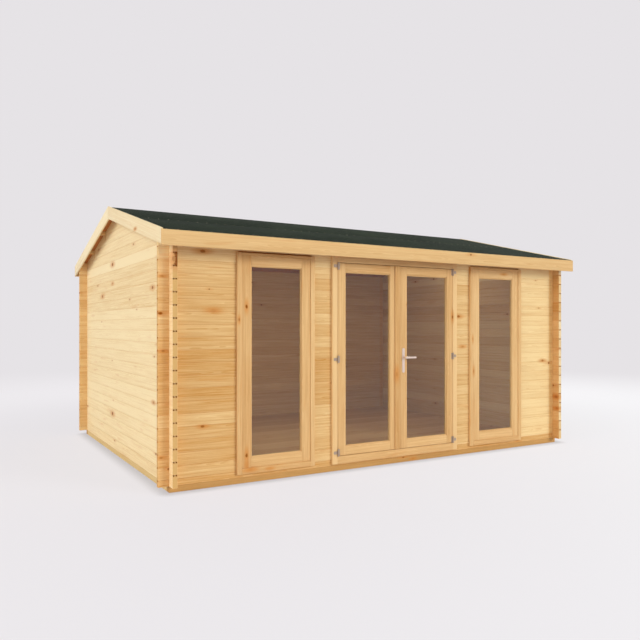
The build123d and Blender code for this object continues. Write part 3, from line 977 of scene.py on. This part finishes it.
def make_finishes() -> None:
    """Make every material of the cabin."""
    side = {"pale": srgb(249, 228, 182), "deep": srgb(214, 168, 98), "grain": Grain.ALONG_Y, "ends_from": 1.8075}
    planed = {"pale": srgb(241, 204, 147), "deep": srgb(194, 137, 71), "knot_pitch": 0.5, "board_width": 0.12,
              "ring_spacing": 0.0028, "roughness": 0.55}
    base = {"board_width": 0.08, "knots": 0.2, "roughness": 0.75}
    woods = [
        Softwood("log_pine_x", srgb(251, 223, 166), srgb(202, 141, 62), placed=LONG_WALL_KNOTS, ends_from=2.455,
                 painted_shadow_from=2.345),
        Softwood("log_pine_y", knot=srgb(134, 76, 30), blush=srgb(216, 156, 100), placed=SIDE_WALL_KNOTS,
                 knots=0.07, stub_painted_light=(1.05, 0.97, 0.90), end_shade=0.85, **side),
        # Right side wall: the long-grain faces of its stubs get painted shade.
        Softwood("log_pine_deeper", placed=RIGHT_WALL_KNOTS, stub_painted_light=(0.80, 0.60, 0.43), end_shade=0.0, **side),
        Softwood("purlin_pine", srgb(246, 216, 162), srgb(214, 164, 100)),
        Softwood("frame_pine_upright", grain=Grain.UPRIGHT, knots=0.06, placed=UPRIGHT_KNOTS, **planed),
        Softwood("frame_pine_level", knots=0.1, placed=LEVEL_KNOTS, **planed),
        Softwood("trim_pine_level", srgb(235, 198, 141), srgb(201, 147, 83), knots=0.2, board_width=0.15),
        Softwood("floor_pine", srgb(226, 188, 132), srgb(192, 142, 88), grain=Grain.ALONG_X_FLAT,
                 board_width=0.12, knots=0.5),
        Softwood("base_pine_x", srgb(212, 168, 106), srgb(176, 128, 70), placed=BASE_KNOTS, **base),
        Softwood("base_pine_y", srgb(232, 208, 154), srgb(202, 162, 102), grain=Grain.ALONG_Y, **base)]
    for side in Slope:
        tilt, placed = side.value * RoofSizes().pitch, BARGE_KNOTS if side is Slope.front else ()
        woods += [Softwood("trim_pine_" + side.name, srgb(252, 237, 200), srgb(230, 198, 142),
                           grain=Grain.ALONG_Y, tilt=tilt, knots=0.1, board_width=0.15, placed=placed),
                  # Roof boards deeper and redder than the other pine: wood tone with painted shade for the soffit
                  # under the roof.
                  Softwood("roof_boards_" + side.name, srgb(206, 134, 78), srgb(164, 92, 46),
                           grain=Grain.ALONG_Y_FLAT, tilt=tilt, board_width=0.09, knots=0.4)]
    for finish in (*woods, Felt(), Glazing(), Steel("handle_steel", srgb(248, 228, 214), 0.38, 0.6),
                   Steel("hinge_steel", srgb(202, 180, 160), 0.45, 0.7, brushed=False)):
        FINISHES[finish.name] = finish.build()


# Sub-assemblies


@dataclass
class LogWalls:
    """Walls of logs with a double channel in each joint, notched into each other at the corners."""

    cover: float = 0.112
    thickness: float = 0.044
    stub: float = 0.095
    base_top: float = 0.056
    side_face: float = 2.455
    long_face: float = 1.8075
    rows: int = 18
    groove_from: float = 0.0046
    groove_to: float = 0.0176
    groove_depth: float = 0.0035
    channel_depth: float = 0.0095
    strip_gap: float = 0.0015
    chamfer: float = 0.003
    # Share of the groove colour on the chamfers under each joint: a dark joint line that is partly painted shade.
    joint_painted_shade: float = 0.5
    arris: float = 0.0013
    notch: float = 0.028
    notch_half: float = 0.0225
    reach_y: float = 0.05
    window_cuts: tuple[float, float] = (1.0375, 1.8085)
    door_cut: float = 0.792
    purlins: tuple[float, ...] = (-1.3, -0.66, 0.0, 0.66, 1.3)
    purlin_depth: float = 0.095
    lowest_tone: float = 0.9
    # Painted light: paler eaves log on the front wall, against the shade under the eaves.
    eaves_painted_light: float = -1.0
    front_tones: tuple[float, float, float, float] = (0.72, 0.48, 0.40, -0.36)
    # Painted light: paler top two rows of the front wall, against the shade under the eaves.
    painted_light_top_rows: tuple[float, float] = (-0.25, -0.8)
    pier_row_tones: dict[int, float] = field(default_factory=lambda: dict.fromkeys((5, 6, 7, 8, 9), 0.35))
    left_row_tones: dict[int, float] = field(
        default_factory=lambda: {4: -0.35, 5: 0.3, 6: 0.1, 7: 0.4, 8: 0.15, 9: 0.15})
    yellower_side_row: int = 14
    yellower: float = 0.2
    paler: float = -0.25
    top_side_log: float = -1.1
    roof: RoofSizes = field(default_factory=RoofSizes)
    seeds: random.Random = field(default_factory=lambda: random.Random(41))

    def profile(self, height: float, inner_rise: float, grooved: bool, channelled: bool) -> Piece:
        """Section of a log in the plane x = 0, with its bottom at z = 0 and its outer face at -Y.

        Args:
            height: Height at the outer face.
            inner_rise: How much higher the inner face is.
            grooved: Grooves and chamfers along the bottom.
            channelled: Channels along the top.

        Returns:
            A flat mesh.
        """
        item = primitive("plane", (height, self.thickness, 1), size=1, location=(0, 0, height / 2),
                         rotation=(0, math.pi / 2, 0))
        channel = height - self.channel_depth
        with editing(item, "VERT"):
            pick(item, "verts", lambda c: c.y > 0 and c.z > height / 2)
            bpy.ops.transform.translate(value=(0, 0, inner_rise))
            if grooved:
                pick(item, "verts", lambda c: c.z < height / 2)
                bpy.ops.mesh.bevel(offset=self.chamfer, affect="VERTICES")
            for y in (-self.groove_to, -self.groove_from, self.groove_from, self.groove_to):
                bisect((0, y, 0), (0, 1, 0))
            for z in [self.groove_depth] * grooved + [channel] * channelled:
                bisect((0, 0, z), (0, 0, 1))
        with editing(item):
            pick(item, "faces", lambda c: self.groove_from < abs(c.y) < self.groove_to and (
                grooved and c.z < self.groove_depth or channelled and c.z > channel))
            bpy.ops.mesh.delete(type="FACE")
        with editing(item, "EDGE"):
            if grooved:
                pick(item, "edges", lambda c: abs(c.y) < self.groove_from - NEAR and c.z < 0.001)
                bpy.ops.transform.translate(value=(0, 0, self.strip_gap))
            everything()
            bpy.ops.mesh.dissolve_limited(angle_limit=0.01)
        return item

    def log(self, start: float, end: float, crossings: Sequence[float], height: float, grooved: bool = True,
            channelled: bool = True, inner_rise: float = 0.0, top_notch: float | None = None) -> Piece:
        """Log along X with its bottom at z = 0 and its middle at y = 0.

        Args:
            start: Its left end.
            end: Its right end.
            crossings: Where other walls cross it.
            height: Height at its outer face.
            grooved: It lies on another log, so it has grooves and notches below.
            channelled: Another log lies on it, so it has channels above.
            inner_rise: How much higher its inner face is.
            top_notch: Bottom of the notches over it, or None for the usual depth.

        Returns:
            The log.
        """
        item = self.profile(height, inner_rise, grooved, channelled)
        with editing(item):
            everything()
            bpy.ops.transform.translate(value=(start, 0, 0))
            pull(end - start, 0, 0)
            face_out()
        at_end = lambda c: abs(abs(c.x - (start + end) / 2) - (end - start) / 2) < NEAR
        whole = lambda c: abs(c.y) > self.groove_to + NEAR or abs(c.y) < self.groove_from - NEAR
        bevel_edges(item, lambda c: abs(c.y) > self.thickness / 2 - NEAR or at_end(c) and whole(c), self.arris,
                    clamp=True)
        top, boxes = height - self.notch if top_notch is None else top_notch, []
        for x in crossings:
            boxes.append(self.gap(x - self.notch_half, x + self.notch_half, top, height + 0.1))
            if grooved:
                boxes.append(self.gap(x - self.notch_half, x + self.notch_half, -0.1, self.notch))
        if boxes:
            cut(item, boxes)
        self.paint_groove_shade(item, height)
        return item

    def gap(self, start: float, end: float, low: float, high: float) -> tuple[Point, Point]:
        """Box through a log, between two places and two heights."""
        return (start, -self.reach_y, low), (end, self.reach_y, high)

    def paint_groove_shade(self, item: Piece, height: float) -> None:
        """Mark the faces inside the grooves and channels for painted shade, and the chamfers under each joint for a
        dark joint line that is partly painted shade.

        Args:
            item: A log along X with its bottom at z = 0.
            height: Its height.
        """
        shade = item.data.attributes.new("groove_shade", "FLOAT", "FACE")
        for number, face in enumerate(item.data.polygons):
            y, z = abs(face.center.y), face.center.z
            inside = z < self.groove_depth + NEAR or z > height - self.channel_depth - NEAR
            if abs(face.normal.x) > 0.5:
                continue
            if self.groove_from - NEAR < y < self.groove_to + NEAR and inside:
                shade.data[number].value = 1.0
            elif y > self.groove_to and z < self.chamfer:
                shade.data[number].value = self.joint_painted_shade

    def stack(self, name: str, courses: Sequence[tuple[Piece, float, float]], turn: Matrix, finish: str) -> None:
        """Copies of templates in their places, as one wall.

        Args:
            name: Name of the wall.
            courses: Template, height of its bottom and tone of each log.
            turn: From the templates' frame to the wall's.
            finish: Name of its finish.
        """
        made = [mark_board(copy_of(template, name, turn @ Matrix.Translation((0, 0, bottom))),
                           self.seeds.uniform(0, FIGURES), tone) for template, bottom, tone in courses]
        place(smooth(joined(name + "_wall_logs", made), 30), "root", "log_pine", finish,
              name + "_wall_odd_logs", name + "_wall_even_logs")

    def tone(self, middle: float = 0.3, spread: float = 0.16) -> float:
        """Random tone of a log about a middle value."""
        return middle + self.seeds.uniform(-spread, spread)

    def build(self) -> None:
        """Make all four walls and both gables."""
        inset, side_inset = self.long_face - self.thickness / 2, self.side_face - self.thickness / 2
        reach, side_reach = self.side_face + self.stub, self.long_face + self.stub
        along = partial(self.log, -reach, reach, (-side_inset, side_inset))
        across = partial(self.log, -side_reach, side_reach, (-inset, inset))
        half_log, (low, high), door = self.cover / 2, self.window_cuts, self.door_cut
        first_row = self.base_top + half_log
        eaves_bottom = first_row + self.rows * self.cover
        gable_bottom = self.base_top + (self.rows + 1) * self.cover
        lowest, rear_lowest = (along(half_log, grooved=False) for _ in range(2))
        cut(lowest, [self.gap(*ends, half_log, 0.1) for ends in ((-high, -low), (-door, door), (low, high))])
        eaves = along(self.roof.eaves - eaves_bottom, channelled=False, inner_rise=self.thickness * self.roof.slope,
                      top_notch=gable_bottom + self.notch - eaves_bottom)
        pieces = [self.log(start, end, crossings, self.cover) for start, end, crossings in (
            (-reach, -high, (-side_inset,)), (-low, -door, ()), (door, low, ()), (high, reach, (side_inset,)))]
        whole = along(self.cover)
        courses = [(lowest, self.base_top, self.lowest_tone)]
        for row in range(self.rows):
            # The top two front rows get painted light against the shade under the eaves.
            lift = self.painted_light_top_rows[row - self.rows] if row >= self.rows - 2 else 0.0
            extras = (self.left_row_tones.get(row, 0.0), self.pier_row_tones.get(row, 0.0), 0.0, 0.0)
            courses += [(piece, first_row + row * self.cover, self.tone(middle + extra + lift))
                        for piece, middle, extra in zip(pieces, self.front_tones, extras)]
        courses.append((eaves, eaves_bottom, self.eaves_painted_light))
        self.stack("front", courses, Matrix.Translation((0, -inset, 0)), "log_pine_x")
        courses = [(rear_lowest, self.base_top, self.tone())]
        courses += [(whole, first_row + row * self.cover, self.tone()) for row in range(self.rows)]
        courses.append((eaves, eaves_bottom, self.tone()))
        self.stack("rear", courses, Matrix.Translation((0, inset, 0)) @ Matrix.Rotation(math.pi, 4, "Z"),
                   "log_pine_x")
        first, full = across(self.cover, grooved=False), across(self.cover)
        for name, side, middle, spread, finish in (("left", -1, -0.15, 0.16, "log_pine_y"),
                                                   # The right wall's deeper middle tone is partly painted shade for
                                                   # the faces of its stubs.
                                                   ("right", 1, 0.45, 0.5, "log_pine_deeper")):
            courses = [(first, self.base_top, self.tone(middle, spread))]
            for row in range(1, self.rows):
                lift = self.yellower if row >= self.yellower_side_row else self.paler
                courses.append((full, self.base_top + row * self.cover, self.tone(middle + lift, spread)))
            courses.append((full, self.base_top + self.rows * self.cover, middle + self.top_side_log))
            turn = Matrix.Translation((side * side_inset, 0, 0)) @ Matrix.Rotation(side * math.pi / 2, 4, "Z")
            self.stack(name, courses, turn, finish)
            self.gable(name, turn, gable_bottom, finish, middle - 0.1)
        for template in (lowest, rear_lowest, eaves, *pieces, whole, first, full):
            bpy.data.objects.remove(template)

    def gable(self, name: str, turn: Matrix, bottom: float, finish: str, middle: float) -> None:
        """Gable logs, cut to the roof slope and notched under the purlins.

        Args:
            name: left or right.
            turn: From the logs' frame to the wall's.
            bottom: Height of the lowest joint.
            finish: Name of its finish.
            middle: Middle tone of its logs.
        """
        made, z, top = [], bottom, self.roof.underside(0)
        reach, corner, half = self.long_face + self.stub, self.long_face - self.thickness / 2, self.notch_half
        while z < top - 0.01:
            item = self.log(-reach, reach, (), self.cover)
            item.data.transform(Matrix.Translation((0, 0, z)))
            with editing(item):
                for way in (-1, 1):
                    bisect((0, 0, top), (way * self.roof.slope, 0, 1), use_fill=True, clear_outer=True)
            boxes = [self.gap(y - half, y + half, self.roof.underside(y) - self.purlin_depth, top + 0.1)
                     for y in self.purlins if self.roof.underside(y) - self.purlin_depth < z + self.cover]
            if z == bottom:
                boxes += [self.gap(x - half, x + half, z - 0.1, z + self.notch) for x in (-corner, corner)]
            cut(item, boxes)
            item.data.transform(turn)
            made.append(mark_board(item, self.seeds.uniform(0, FIGURES), self.tone(middle, 0.12)))
            z = bottom + len(made) * self.cover
        place(smooth(joined(name + "_gable_logs", made), 30), "root", "log_pine", finish, name + "_gable")


@dataclass
class Roof:
    """Boards, felt, purlins, fascias and barge boards."""

    sizes: RoofSizes = field(default_factory=RoofSizes)
    boards: int = 58
    groove: float = 0.0028
    felt_thickness: float = 0.0018
    felt_width: float = 1.0
    felt_lap: float = 0.075
    lap_rise: float = 0.66
    felt_edge: float = 0.0006
    nail_radius: float = 0.005
    nail_height: float = 0.0016
    nail_pitch: float = 0.1
    nail_ends: float = 0.03
    trim_arris: float = 0.0015
    purlin_arris: float = 0.002
    tone_spread: float = 0.7
    seeds: random.Random = field(default_factory=lambda: random.Random(12))

    def sloping(self, side: Slope, start: float, end: float, low: float, high: float, rise: float,
                thickness: float) -> Piece:
        """Board or sheet that lies along one slope with plumb ends.

        Args:
            side: The slope.
            start: Lower x.
            end: Higher x.
            low: Distance of its upper end from the ridge line, in plan.
            high: Distance of its lower end.
            rise: Its underside over the roof's underside, square to the slope.
            thickness: Its thickness.

        Returns:
            The object.
        """
        pitch, way = self.sizes.pitch, side.value
        y, z = self.sizes.lifted(side, (low + high) / 2, rise + thickness / 2)
        item = primitive("cube", (end - start, (high - low) / math.cos(pitch) + 0.1, thickness), size=1,
                         location=((start + end) / 2, y, z), rotation=(-way * pitch, 0, 0))
        with editing(item):
            bisect((0, way * low, 0), (0, -way, 0), use_fill=True, clear_outer=True)
            bisect((0, way * high, 0), (0, way, 0), use_fill=True, clear_outer=True)
        return item

    def deck(self, side: Slope) -> None:
        """Tongued roof boards from the ridge to the eaves, with a V joint below.

        Args:
            side: The slope.
        """
        roof, width = self.sizes, 2 * self.sizes.deck_reach / self.boards
        template = self.sloping(side, 0, width, 0, roof.lower_edge - roof.board_thickness, 0, roof.deck_thickness)
        bevel_edges(template, lambda c: (c.z - roof.underside(c.y)) * math.cos(roof.pitch) < 0.001 and
                    (c.x < NEAR or c.x > width - NEAR), self.groove)
        places = [Matrix.Translation((number * width - roof.deck_reach, 0, 0)) for number in range(self.boards)]
        boards = repeated(side.name + "_roof_boards", template, places, self.seeds, self.tone_spread)
        place(boards, "root", "roof_boards", "roof_boards_" + side.name, side.name + "_roof_deck")

    def felt(self, side: Slope) -> None:
        """Felt strips laid from the eaves up, each over the one below.

        Args:
            side: The slope.
        """
        roof, made, lower = self.sizes, [], self.sizes.lower_edge
        while lower > 0.001:
            upper = max(lower - self.felt_width * math.cos(roof.pitch), 0.0)
            rise = roof.deck_thickness + (len(made) % 2) * self.felt_thickness * self.lap_rise
            made.append(self.sloping(side, -roof.deck_reach, roof.deck_reach, upper, lower, rise,
                                     self.felt_thickness))
            lower = upper + self.felt_lap if upper > 0.001 else 0.0
        sheet = soften(joined(side.name + "_felt_strips", made), self.felt_edge, 1)
        place(sheet, "root", "roof_felt", "mineral_felt", side.name + "_roof_felt")

    def nails(self, side: Slope) -> None:
        """Clout nails along the laps and the lower edge of the felt.

        Args:
            side: The slope.
        """
        roof, places = self.sizes, []
        lap = roof.lower_edge - self.felt_width * math.cos(roof.pitch) + self.felt_lap
        template = primitive("cylinder", vertices=8, radius=self.nail_radius, depth=self.nail_height,
                             rotation=(-side.value * roof.pitch, 0, 0))
        count = round(2 * roof.deck_reach / self.nail_pitch)
        step = 2 * (roof.deck_reach - self.nail_ends) / count
        for distance, layers in ((roof.lower_edge - 0.025, 1.0), (lap - 0.03, 1.0 + self.lap_rise)):
            y, z = roof.lifted(side, distance, roof.deck_thickness + layers * self.felt_thickness + 0.0004)
            places += [Matrix.Translation((number * step + self.nail_ends - roof.deck_reach, y, z))
                       for number in range(count + 1)]
        place(repeated(side.name + "_felt_nails", template, places), "root", "hinge_steel", "hinge_steel")

    def build(self) -> None:
        """Make the whole roof."""
        trim = partial(plane_node, body="root", slot="trim_pine", width=self.trim_arris, seeds=self.seeds)
        for side in Slope:
            self.deck(side)
            self.felt(side)
            self.nails(side)
            trim(side.name + "_barge_boards", finish="trim_pine_" + side.name)
        trim("fascia_boards", finish="trim_pine_level")
        for node in ("ridge_purlin", "lower_purlins"):
            plane_node(node, "root", "log_pine", "purlin_pine", self.purlin_arris, self.seeds)


@dataclass
class Base:
    """Base beams and floor boards."""

    floor_low: Point = (-2.409, -1.7615, 0.056)
    floor_high: Point = (2.409, 1.7615, 0.074)
    boards: int = 32
    groove: float = 0.0012
    arris: float = 0.002
    tone_spread: float = 0.6
    seeds: random.Random = field(default_factory=lambda: random.Random(5))

    def build(self) -> None:
        """Make the base and the floor."""
        for node, finish in (("base_long_beams", "base_pine_x"), ("base_cross_beams", "base_pine_y")):
            plane_node(node, "root", "treated_base", finish, self.arris, self.seeds, segments=1)
        low, (end, back, top) = self.floor_low, self.floor_high
        width = (back - low[1]) / self.boards
        template = block(low, (end, low[1] + width, top))
        bevel_edges(template, lambda c: c.z > top - NEAR and abs(c.x) < 0.001, self.groove)
        places = [Matrix.Translation((0, number * width, 0)) for number in range(self.boards)]
        boards = repeated("floor_planks", template, places, self.seeds, self.tone_spread)
        place(boards, "root", "floor_pine", "floor_pine", "floor_boards")


@dataclass
class Joinery:
    """Window frames, sashes, door frame and door leaves, with each node's body, grain and middle tone."""

    glass_lap: float = 0.0097
    bead_width: float = 0.009
    bead_height: float = 0.010
    bead_round: float = 0.0028
    bead_spread: float = 0.3
    arris: float = 0.0016
    tone_spread: float = 0.2
    seeds: random.Random = field(default_factory=lambda: random.Random(23))
    plan: tuple[tuple[str, str, str, float], ...] = (
        ("window_posts", "root", "upright", 0.1), ("window_heads_and_sills", "root", "level", 0.55),
        ("left_window_stiles", "root", "upright", 0.40), ("left_window_rails", "root", "level", 0.2),
        ("right_window_stiles", "root", "upright", 0.05), ("right_window_rails", "root", "level", 0.1),
        ("door_frame_posts", "root", "upright", -0.70), ("door_frame_head", "root", "level", 0.1),
        ("door_threshold", "root", "level", 0.3),
        ("left_door_stiles", "left_door", "upright", 0.25), ("left_door_rails", "left_door", "level", 0.2),
        ("door_cover_strip", "left_door", "upright", 0.75),
        ("right_door_stiles", "right_door", "upright", 0.35), ("right_door_rails", "right_door", "level", 0.2))

    def build(self) -> None:
        """Make all frames, stiles, rails and the glass."""
        for node, body, way, tone in self.plan:
            plane_node(node, body, "frame_pine", "frame_pine_" + way, self.arris, self.seeds,
                       self.tone_spread, middle=tone)
        for name in ("left_window", "right_window", "left_door", "right_door"):
            dress(frame["nodes"][name + "_glass"], "float_glass")
            self.beads(name, name if name in frame["bodies"] else "root")

    def beads(self, name: str, body: str) -> None:
        """Mitred glazing beads against both faces of a pane.

        Args:
            name: Name of the window or leaf.
            body: CAD body it rides on.
        """
        low, high = (Vector(corner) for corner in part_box(name + "_glass"))
        middle, size = (low + high) / 2, high - low
        kinds: dict[str, list[Piece]] = {"upright": [], "level": []}
        for way, face in ((-1, low.y), (1, high.y)):
            ring = primitive("plane", (size.x - 2 * self.glass_lap, size.z - 2 * self.glass_lap, 1), size=1,
                             location=(middle.x, face, middle.z), rotation=LYING)
            with editing(ring):
                everything()
                bpy.ops.mesh.inset(thickness=self.bead_width)
                bpy.ops.mesh.delete(type="FACE")
                pick(ring, "faces", lambda c: abs(c.z - middle.z) < 0.1)
                bpy.ops.mesh.separate(type="SELECTED")
            for item in list(bpy.context.selected_objects):
                with editing(item):
                    everything()
                    pull(0, way * self.bead_height, 0)
                    face_out()
                    bpy.ops.mesh.separate(type="LOOSE")
                for strip in list(bpy.context.selected_objects):
                    along = [vertex.co.x for vertex in strip.data.vertices]
                    kind = "level" if max(along) - min(along) > 2 * self.bead_width else "upright"
                    soften(strip, self.bead_round, 2, 50)
                    kinds[kind].append(any_board(strip, self.seeds, self.bead_spread))
        for kind, strips in kinds.items():
            place(joined(name + "_" + kind + "_beads", strips), body, "frame_pine", "frame_pine_" + kind)


@dataclass
class DoorFurniture:
    """Hinges, handle plates with their lock, and the lever."""

    axis_x: float = 0.7525
    axis_y: float = -1.8405
    face_y: float = -1.8325
    heights: tuple[float, float, float] = (0.185, 1.112, 2.039)
    knuckle_radius: float = 0.007
    knuckle_height: float = 0.0228
    knuckle_gap: float = 0.0003
    pin_radius: float = 0.0045
    pin_proud: float = 0.0034
    rim: float = 0.0007
    plate_thickness: float = 0.003
    plate_round: float = 0.007
    plate_arris: float = 0.0006
    frame_plate: tuple[float, float] = (0.048, 0.030)
    frame_screws: tuple[float, float] = (0.022, 0.038)
    leaf_plate: tuple[float, float] = (0.022, 0.070)
    leaf_screws: tuple[float, float] = (0.0155, 0.024)
    screw_radius: float = 0.0036
    leaf_screw_radius: float = 0.0034
    lock_x: float = 0.063
    lock_drop: float = 0.092
    lock_radius: float = 0.0085
    lock_tail: float = 0.012
    lock_proud: float = 0.004
    keyhole: tuple[float, float] = (0.0009, 0.0045)
    lever_z: float = 1.111
    arris: float = 0.0011
    seeds: random.Random = field(default_factory=lambda: random.Random(3))

    def barrel(self, x: float, low: float, high: float, radius: float) -> Piece:
        """Upright cylinder with rounded rims.

        Args:
            x: Place of the hinge axis.
            low: Its bottom.
            high: Its top.
            radius: Its radius.

        Returns:
            The cylinder.
        """
        item = primitive("cylinder", vertices=24, radius=radius, depth=high - low,
                         location=(x, self.axis_y, (low + high) / 2))
        return soften(item, self.rim, 2, 50)

    def plate(self, x: float, z: float, way: int, size: tuple[float, float]) -> Piece:
        """Plate from the axis along the face, with its far corners rounded.

        Args:
            x: Place of the axis.
            z: Middle height.
            way: -1 where it reaches to -X, +1 to +X.
            size: Reach and height.

        Returns:
            The plate.
        """
        (reach, height), near = size, x + way * self.knuckle_radius * 0.4
        far = x + way * reach
        item = block((min(near, far), self.face_y - self.plate_thickness, z - height / 2),
                     (max(near, far), self.face_y, z + height / 2))
        bevel_edges(item, lambda c: abs(c.x - far) < 1e-5 and abs(abs(c.z - z) - height / 2) < 1e-5,
                    self.plate_round, 5)
        return soften(item, self.plate_arris, 1, 50)

    def hinge(self, side: int, z: float) -> tuple[list[Piece], list[Piece]]:
        """Parts of one hinge.

        Args:
            side: -1 left leaf, +1 right leaf.
            z: Its middle.

        Returns:
            Parts on the frame and parts on the leaf.
        """
        x, half, radius = side * self.axis_x, self.knuckle_height / 2, self.knuckle_radius
        outside, pin = self.face_y - self.plate_thickness, 3 * half + self.pin_proud
        on_frame = [self.barrel(x, z - half, z + half, radius), self.barrel(x, z - pin, z + pin, self.pin_radius),
                    self.plate(x, z, side, self.frame_plate)]
        on_frame += [screw((x + side * reach, outside, z), self.screw_radius) for reach in self.frame_screws]
        on_leaf = [self.plate(x, z, -side, self.leaf_plate)]
        across, up = self.leaf_screws
        for way in (-1, 1):
            middle = z + way * (2 * half + self.knuckle_gap)
            on_leaf += [self.barrel(x, middle - half, middle + half, radius),
                        screw((x - side * across, outside, z + way * up), self.leaf_screw_radius)]
        return on_frame, on_leaf

    def lock(self) -> Piece:
        """Profile cylinder through both handle plates, with its keyhole, and the plate screws.

        Returns:
            The piece.
        """
        made, x, z, proud = [], self.lock_x, self.lever_z - self.lock_drop, self.lock_proud
        low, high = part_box("handle_plates")
        for way, face in ((-1, low[1]), (1, high[1])):
            body = primitive("cylinder", vertices=32, radius=self.lock_radius, depth=proud, location=(x, face, z),
                             rotation=LYING)
            with editing(body):
                pick(body, "faces", lambda c: c.z < z - self.lock_radius * 0.92)
                pull(0, 0, -self.lock_tail)
            soften(body, 0.0005, 1, 50)
            wide, tall = self.keyhole
            cut(body, [((x - wide, face + min(0, way) * proud, z - tall),
                        (x + wide, face + max(0, way) * proud, z + tall))])
            made += [body, *(screw((x, face, up), self.screw_radius, way)
                             for up in (low[2] + 0.014, high[2] - 0.014))]
        return joined("lock_cylinders", made)

    def build(self) -> None:
        """Make the fittings."""
        on_frame: list[Piece] = []
        for name, side in (("left_door", -1), ("right_door", 1)):
            hinges = [self.hinge(side, height) for height in self.heights]
            on_frame += [part for fixed, _ in hinges for part in fixed]
            place(joined(name + "_hinge_leaves", [part for _, swinging in hinges for part in swinging]), name,
                  "hinge_steel", "hinge_steel", name + "_hinges")
        place(joined("frame_hinge_leaves", on_frame), "root", "hinge_steel", "hinge_steel", "door_frame_hinges")
        for node, body in (("handle_plates", "right_door"), ("lever_handle", "lever")):
            plane_node(node, body, "handle_steel", "handle_steel", self.arris, self.seeds)
        place(self.lock(), "right_door", "handle_steel", "handle_steel")


@dataclass
class Studio:
    """Floor, daylight and camera.

    Each sun has its name, energy, spread in degrees, colour and direction.
    """

    eye: Point = (-4.170, -7.287, 1.433)
    forward: tuple[float, float] = (0.5073, 0.8617)
    focal_pixels: float = 648.1
    picture: int = 640
    horizon: float = 327.0
    sensor: float = 36.0
    backdrop: Colour = srgb(230, 227, 230)
    floor_colour: Colour = srgb(239, 236, 239)
    # Painted light: the floor grows paler towards the right.
    floor_painted_light: Colour = srgb(249, 248, 250)
    # Painted contact shadow round the footprint: its colour, reach and strongest share.
    painted_shadow_colour: Colour = (0.12, 0.11, 0.10)
    painted_shadow_width: float = 0.16
    painted_shadow_share: float = 0.38
    footprint: tuple[float, float] = (2.455, 1.8075)
    sky: Colour = (0.97, 0.98, 1.0)
    sky_strength: float = 0.46
    suns: tuple[tuple[str, float, float, Colour, Point], ...] = (
        ("left_sun", 1.60, 44.0, (1.0, 0.985, 0.96), (1.0, 0.12, -0.28)),
        ("front_sun", 1.62, 26.0, (1.0, 0.99, 0.97), (-0.59, 0.78, -0.36)))
    room_energy: float = 10.0
    room_colour: Colour = (1.0, 0.86, 0.72)
    room_size: tuple[float, float] = (3.6, 1.2)
    room_place: Point = (0.5, -0.3, 2.45)

    def floor(self) -> None:
        """Pale floor that fades into the backdrop far away, with a painted contact shadow round the cabin's
        footprint and painted light that grows towards the right.
        """
        ground = primitive("plane", size=160, location=(0, 0, -0.0005))
        ground.name = "studio_floor"
        made, g, shader = new_material("studio_floor", self.floor_colour)
        where = g.where()
        x, y, _ = g.split(where)
        away = g.vector("LENGTH", where)
        beside = g.combine(*(g.math("MAXIMUM", abs(value) - half, 0.0)
                             for value, half in zip((x, y), self.footprint)), 0.0)
        # Painted contact shadow: the floor darkens next to the cabin's footprint.
        painted_contact_shadow = g.ramp(g.vector("LENGTH", beside), 0.0, self.painted_shadow_width, self.painted_shadow_share, 0.0)
        rightwards = x * self.forward[1] - y * self.forward[0]
        # Painted light: the floor grows paler towards the right.
        pale = g.mix(g.ramp(rightwards, -1.0, 5.0), self.floor_colour, self.floor_painted_light)
        pale = g.mix(g.ramp(away, 6.0, 16.0), pale, self.backdrop)
        glow = g.node("Emission", {"Strength": 1.0, "Color": g.mix(painted_contact_shadow, pale, self.painted_shadow_colour)})
        g.put(shader, {"Base Color": self.floor_colour, "Roughness": 0.9, "Specular IOR Level": 0.1})
        g.show(g.seen() * g.ramp(away, 3.0, 9.0, 0.80, 1.0), shader, glow, "Material Output")
        ground.data.materials.append(made)

    def daylight(self) -> None:
        """Even sky, a soft sun from the left and one from the front, and a warm glow in the room."""
        world = bpy.context.scene.world = bpy.data.worlds.new("studio")
        world.use_nodes = True
        g = Graph(world.node_tree)
        fill = g.tree.nodes["Background"]
        g.put(fill, {"Color": self.sky, "Strength": self.sky_strength})
        g.show(g.seen(), fill, g.node("Background", {"Color": self.backdrop, "Strength": 1.0}), "World Output")
        for name, energy, spread, colour, way in self.suns:
            lamp = bpy.data.lights.new(name, "SUN")
            lamp.energy, lamp.angle, lamp.color = energy, math.radians(spread), colour
            sun = linked(name, lamp)
            sun.visible_glossy = False
            sun.rotation_mode = "QUATERNION"
            sun.rotation_quaternion = Vector(way).to_track_quat("-Z", "Y")
        panel = bpy.data.lights.new("room_lamp", "AREA")
        panel.shape, panel.energy, panel.color = "RECTANGLE", self.room_energy, self.room_colour
        panel.size, panel.size_y = self.room_size
        linked("room_lamp", panel).location = self.room_place

    def camera(self) -> None:
        """Camera at the photograph's viewing angle."""
        lens = bpy.data.cameras.new("view")
        lens.sensor_width = self.sensor
        lens.lens = self.focal_pixels / self.picture * self.sensor
        lens.shift_y = (self.horizon - self.picture / 2) / self.picture
        lens.clip_start, lens.clip_end = 0.05, 300
        eye = bpy.context.scene.camera = linked("view", lens)
        eye.location = self.eye
        eye.rotation_euler = (math.pi / 2, 0, -math.atan2(*self.forward))

    def build(self) -> None:
        """Set up the stage."""
        self.floor()
        self.daylight()
        self.camera()
        bpy.context.scene.view_settings.view_transform = "Standard"


def main() -> None:
    """Build the cabin piece by piece."""
    logging.basicConfig(level=logging.INFO, format="%(name)s %(message)s")
    make_finishes()
    for assembly in (LogWalls(), Roof(), Base(), Joinery(), DoorFurniture(), Studio()):
        assembly.build()


if __name__ == "__main__":
    main()
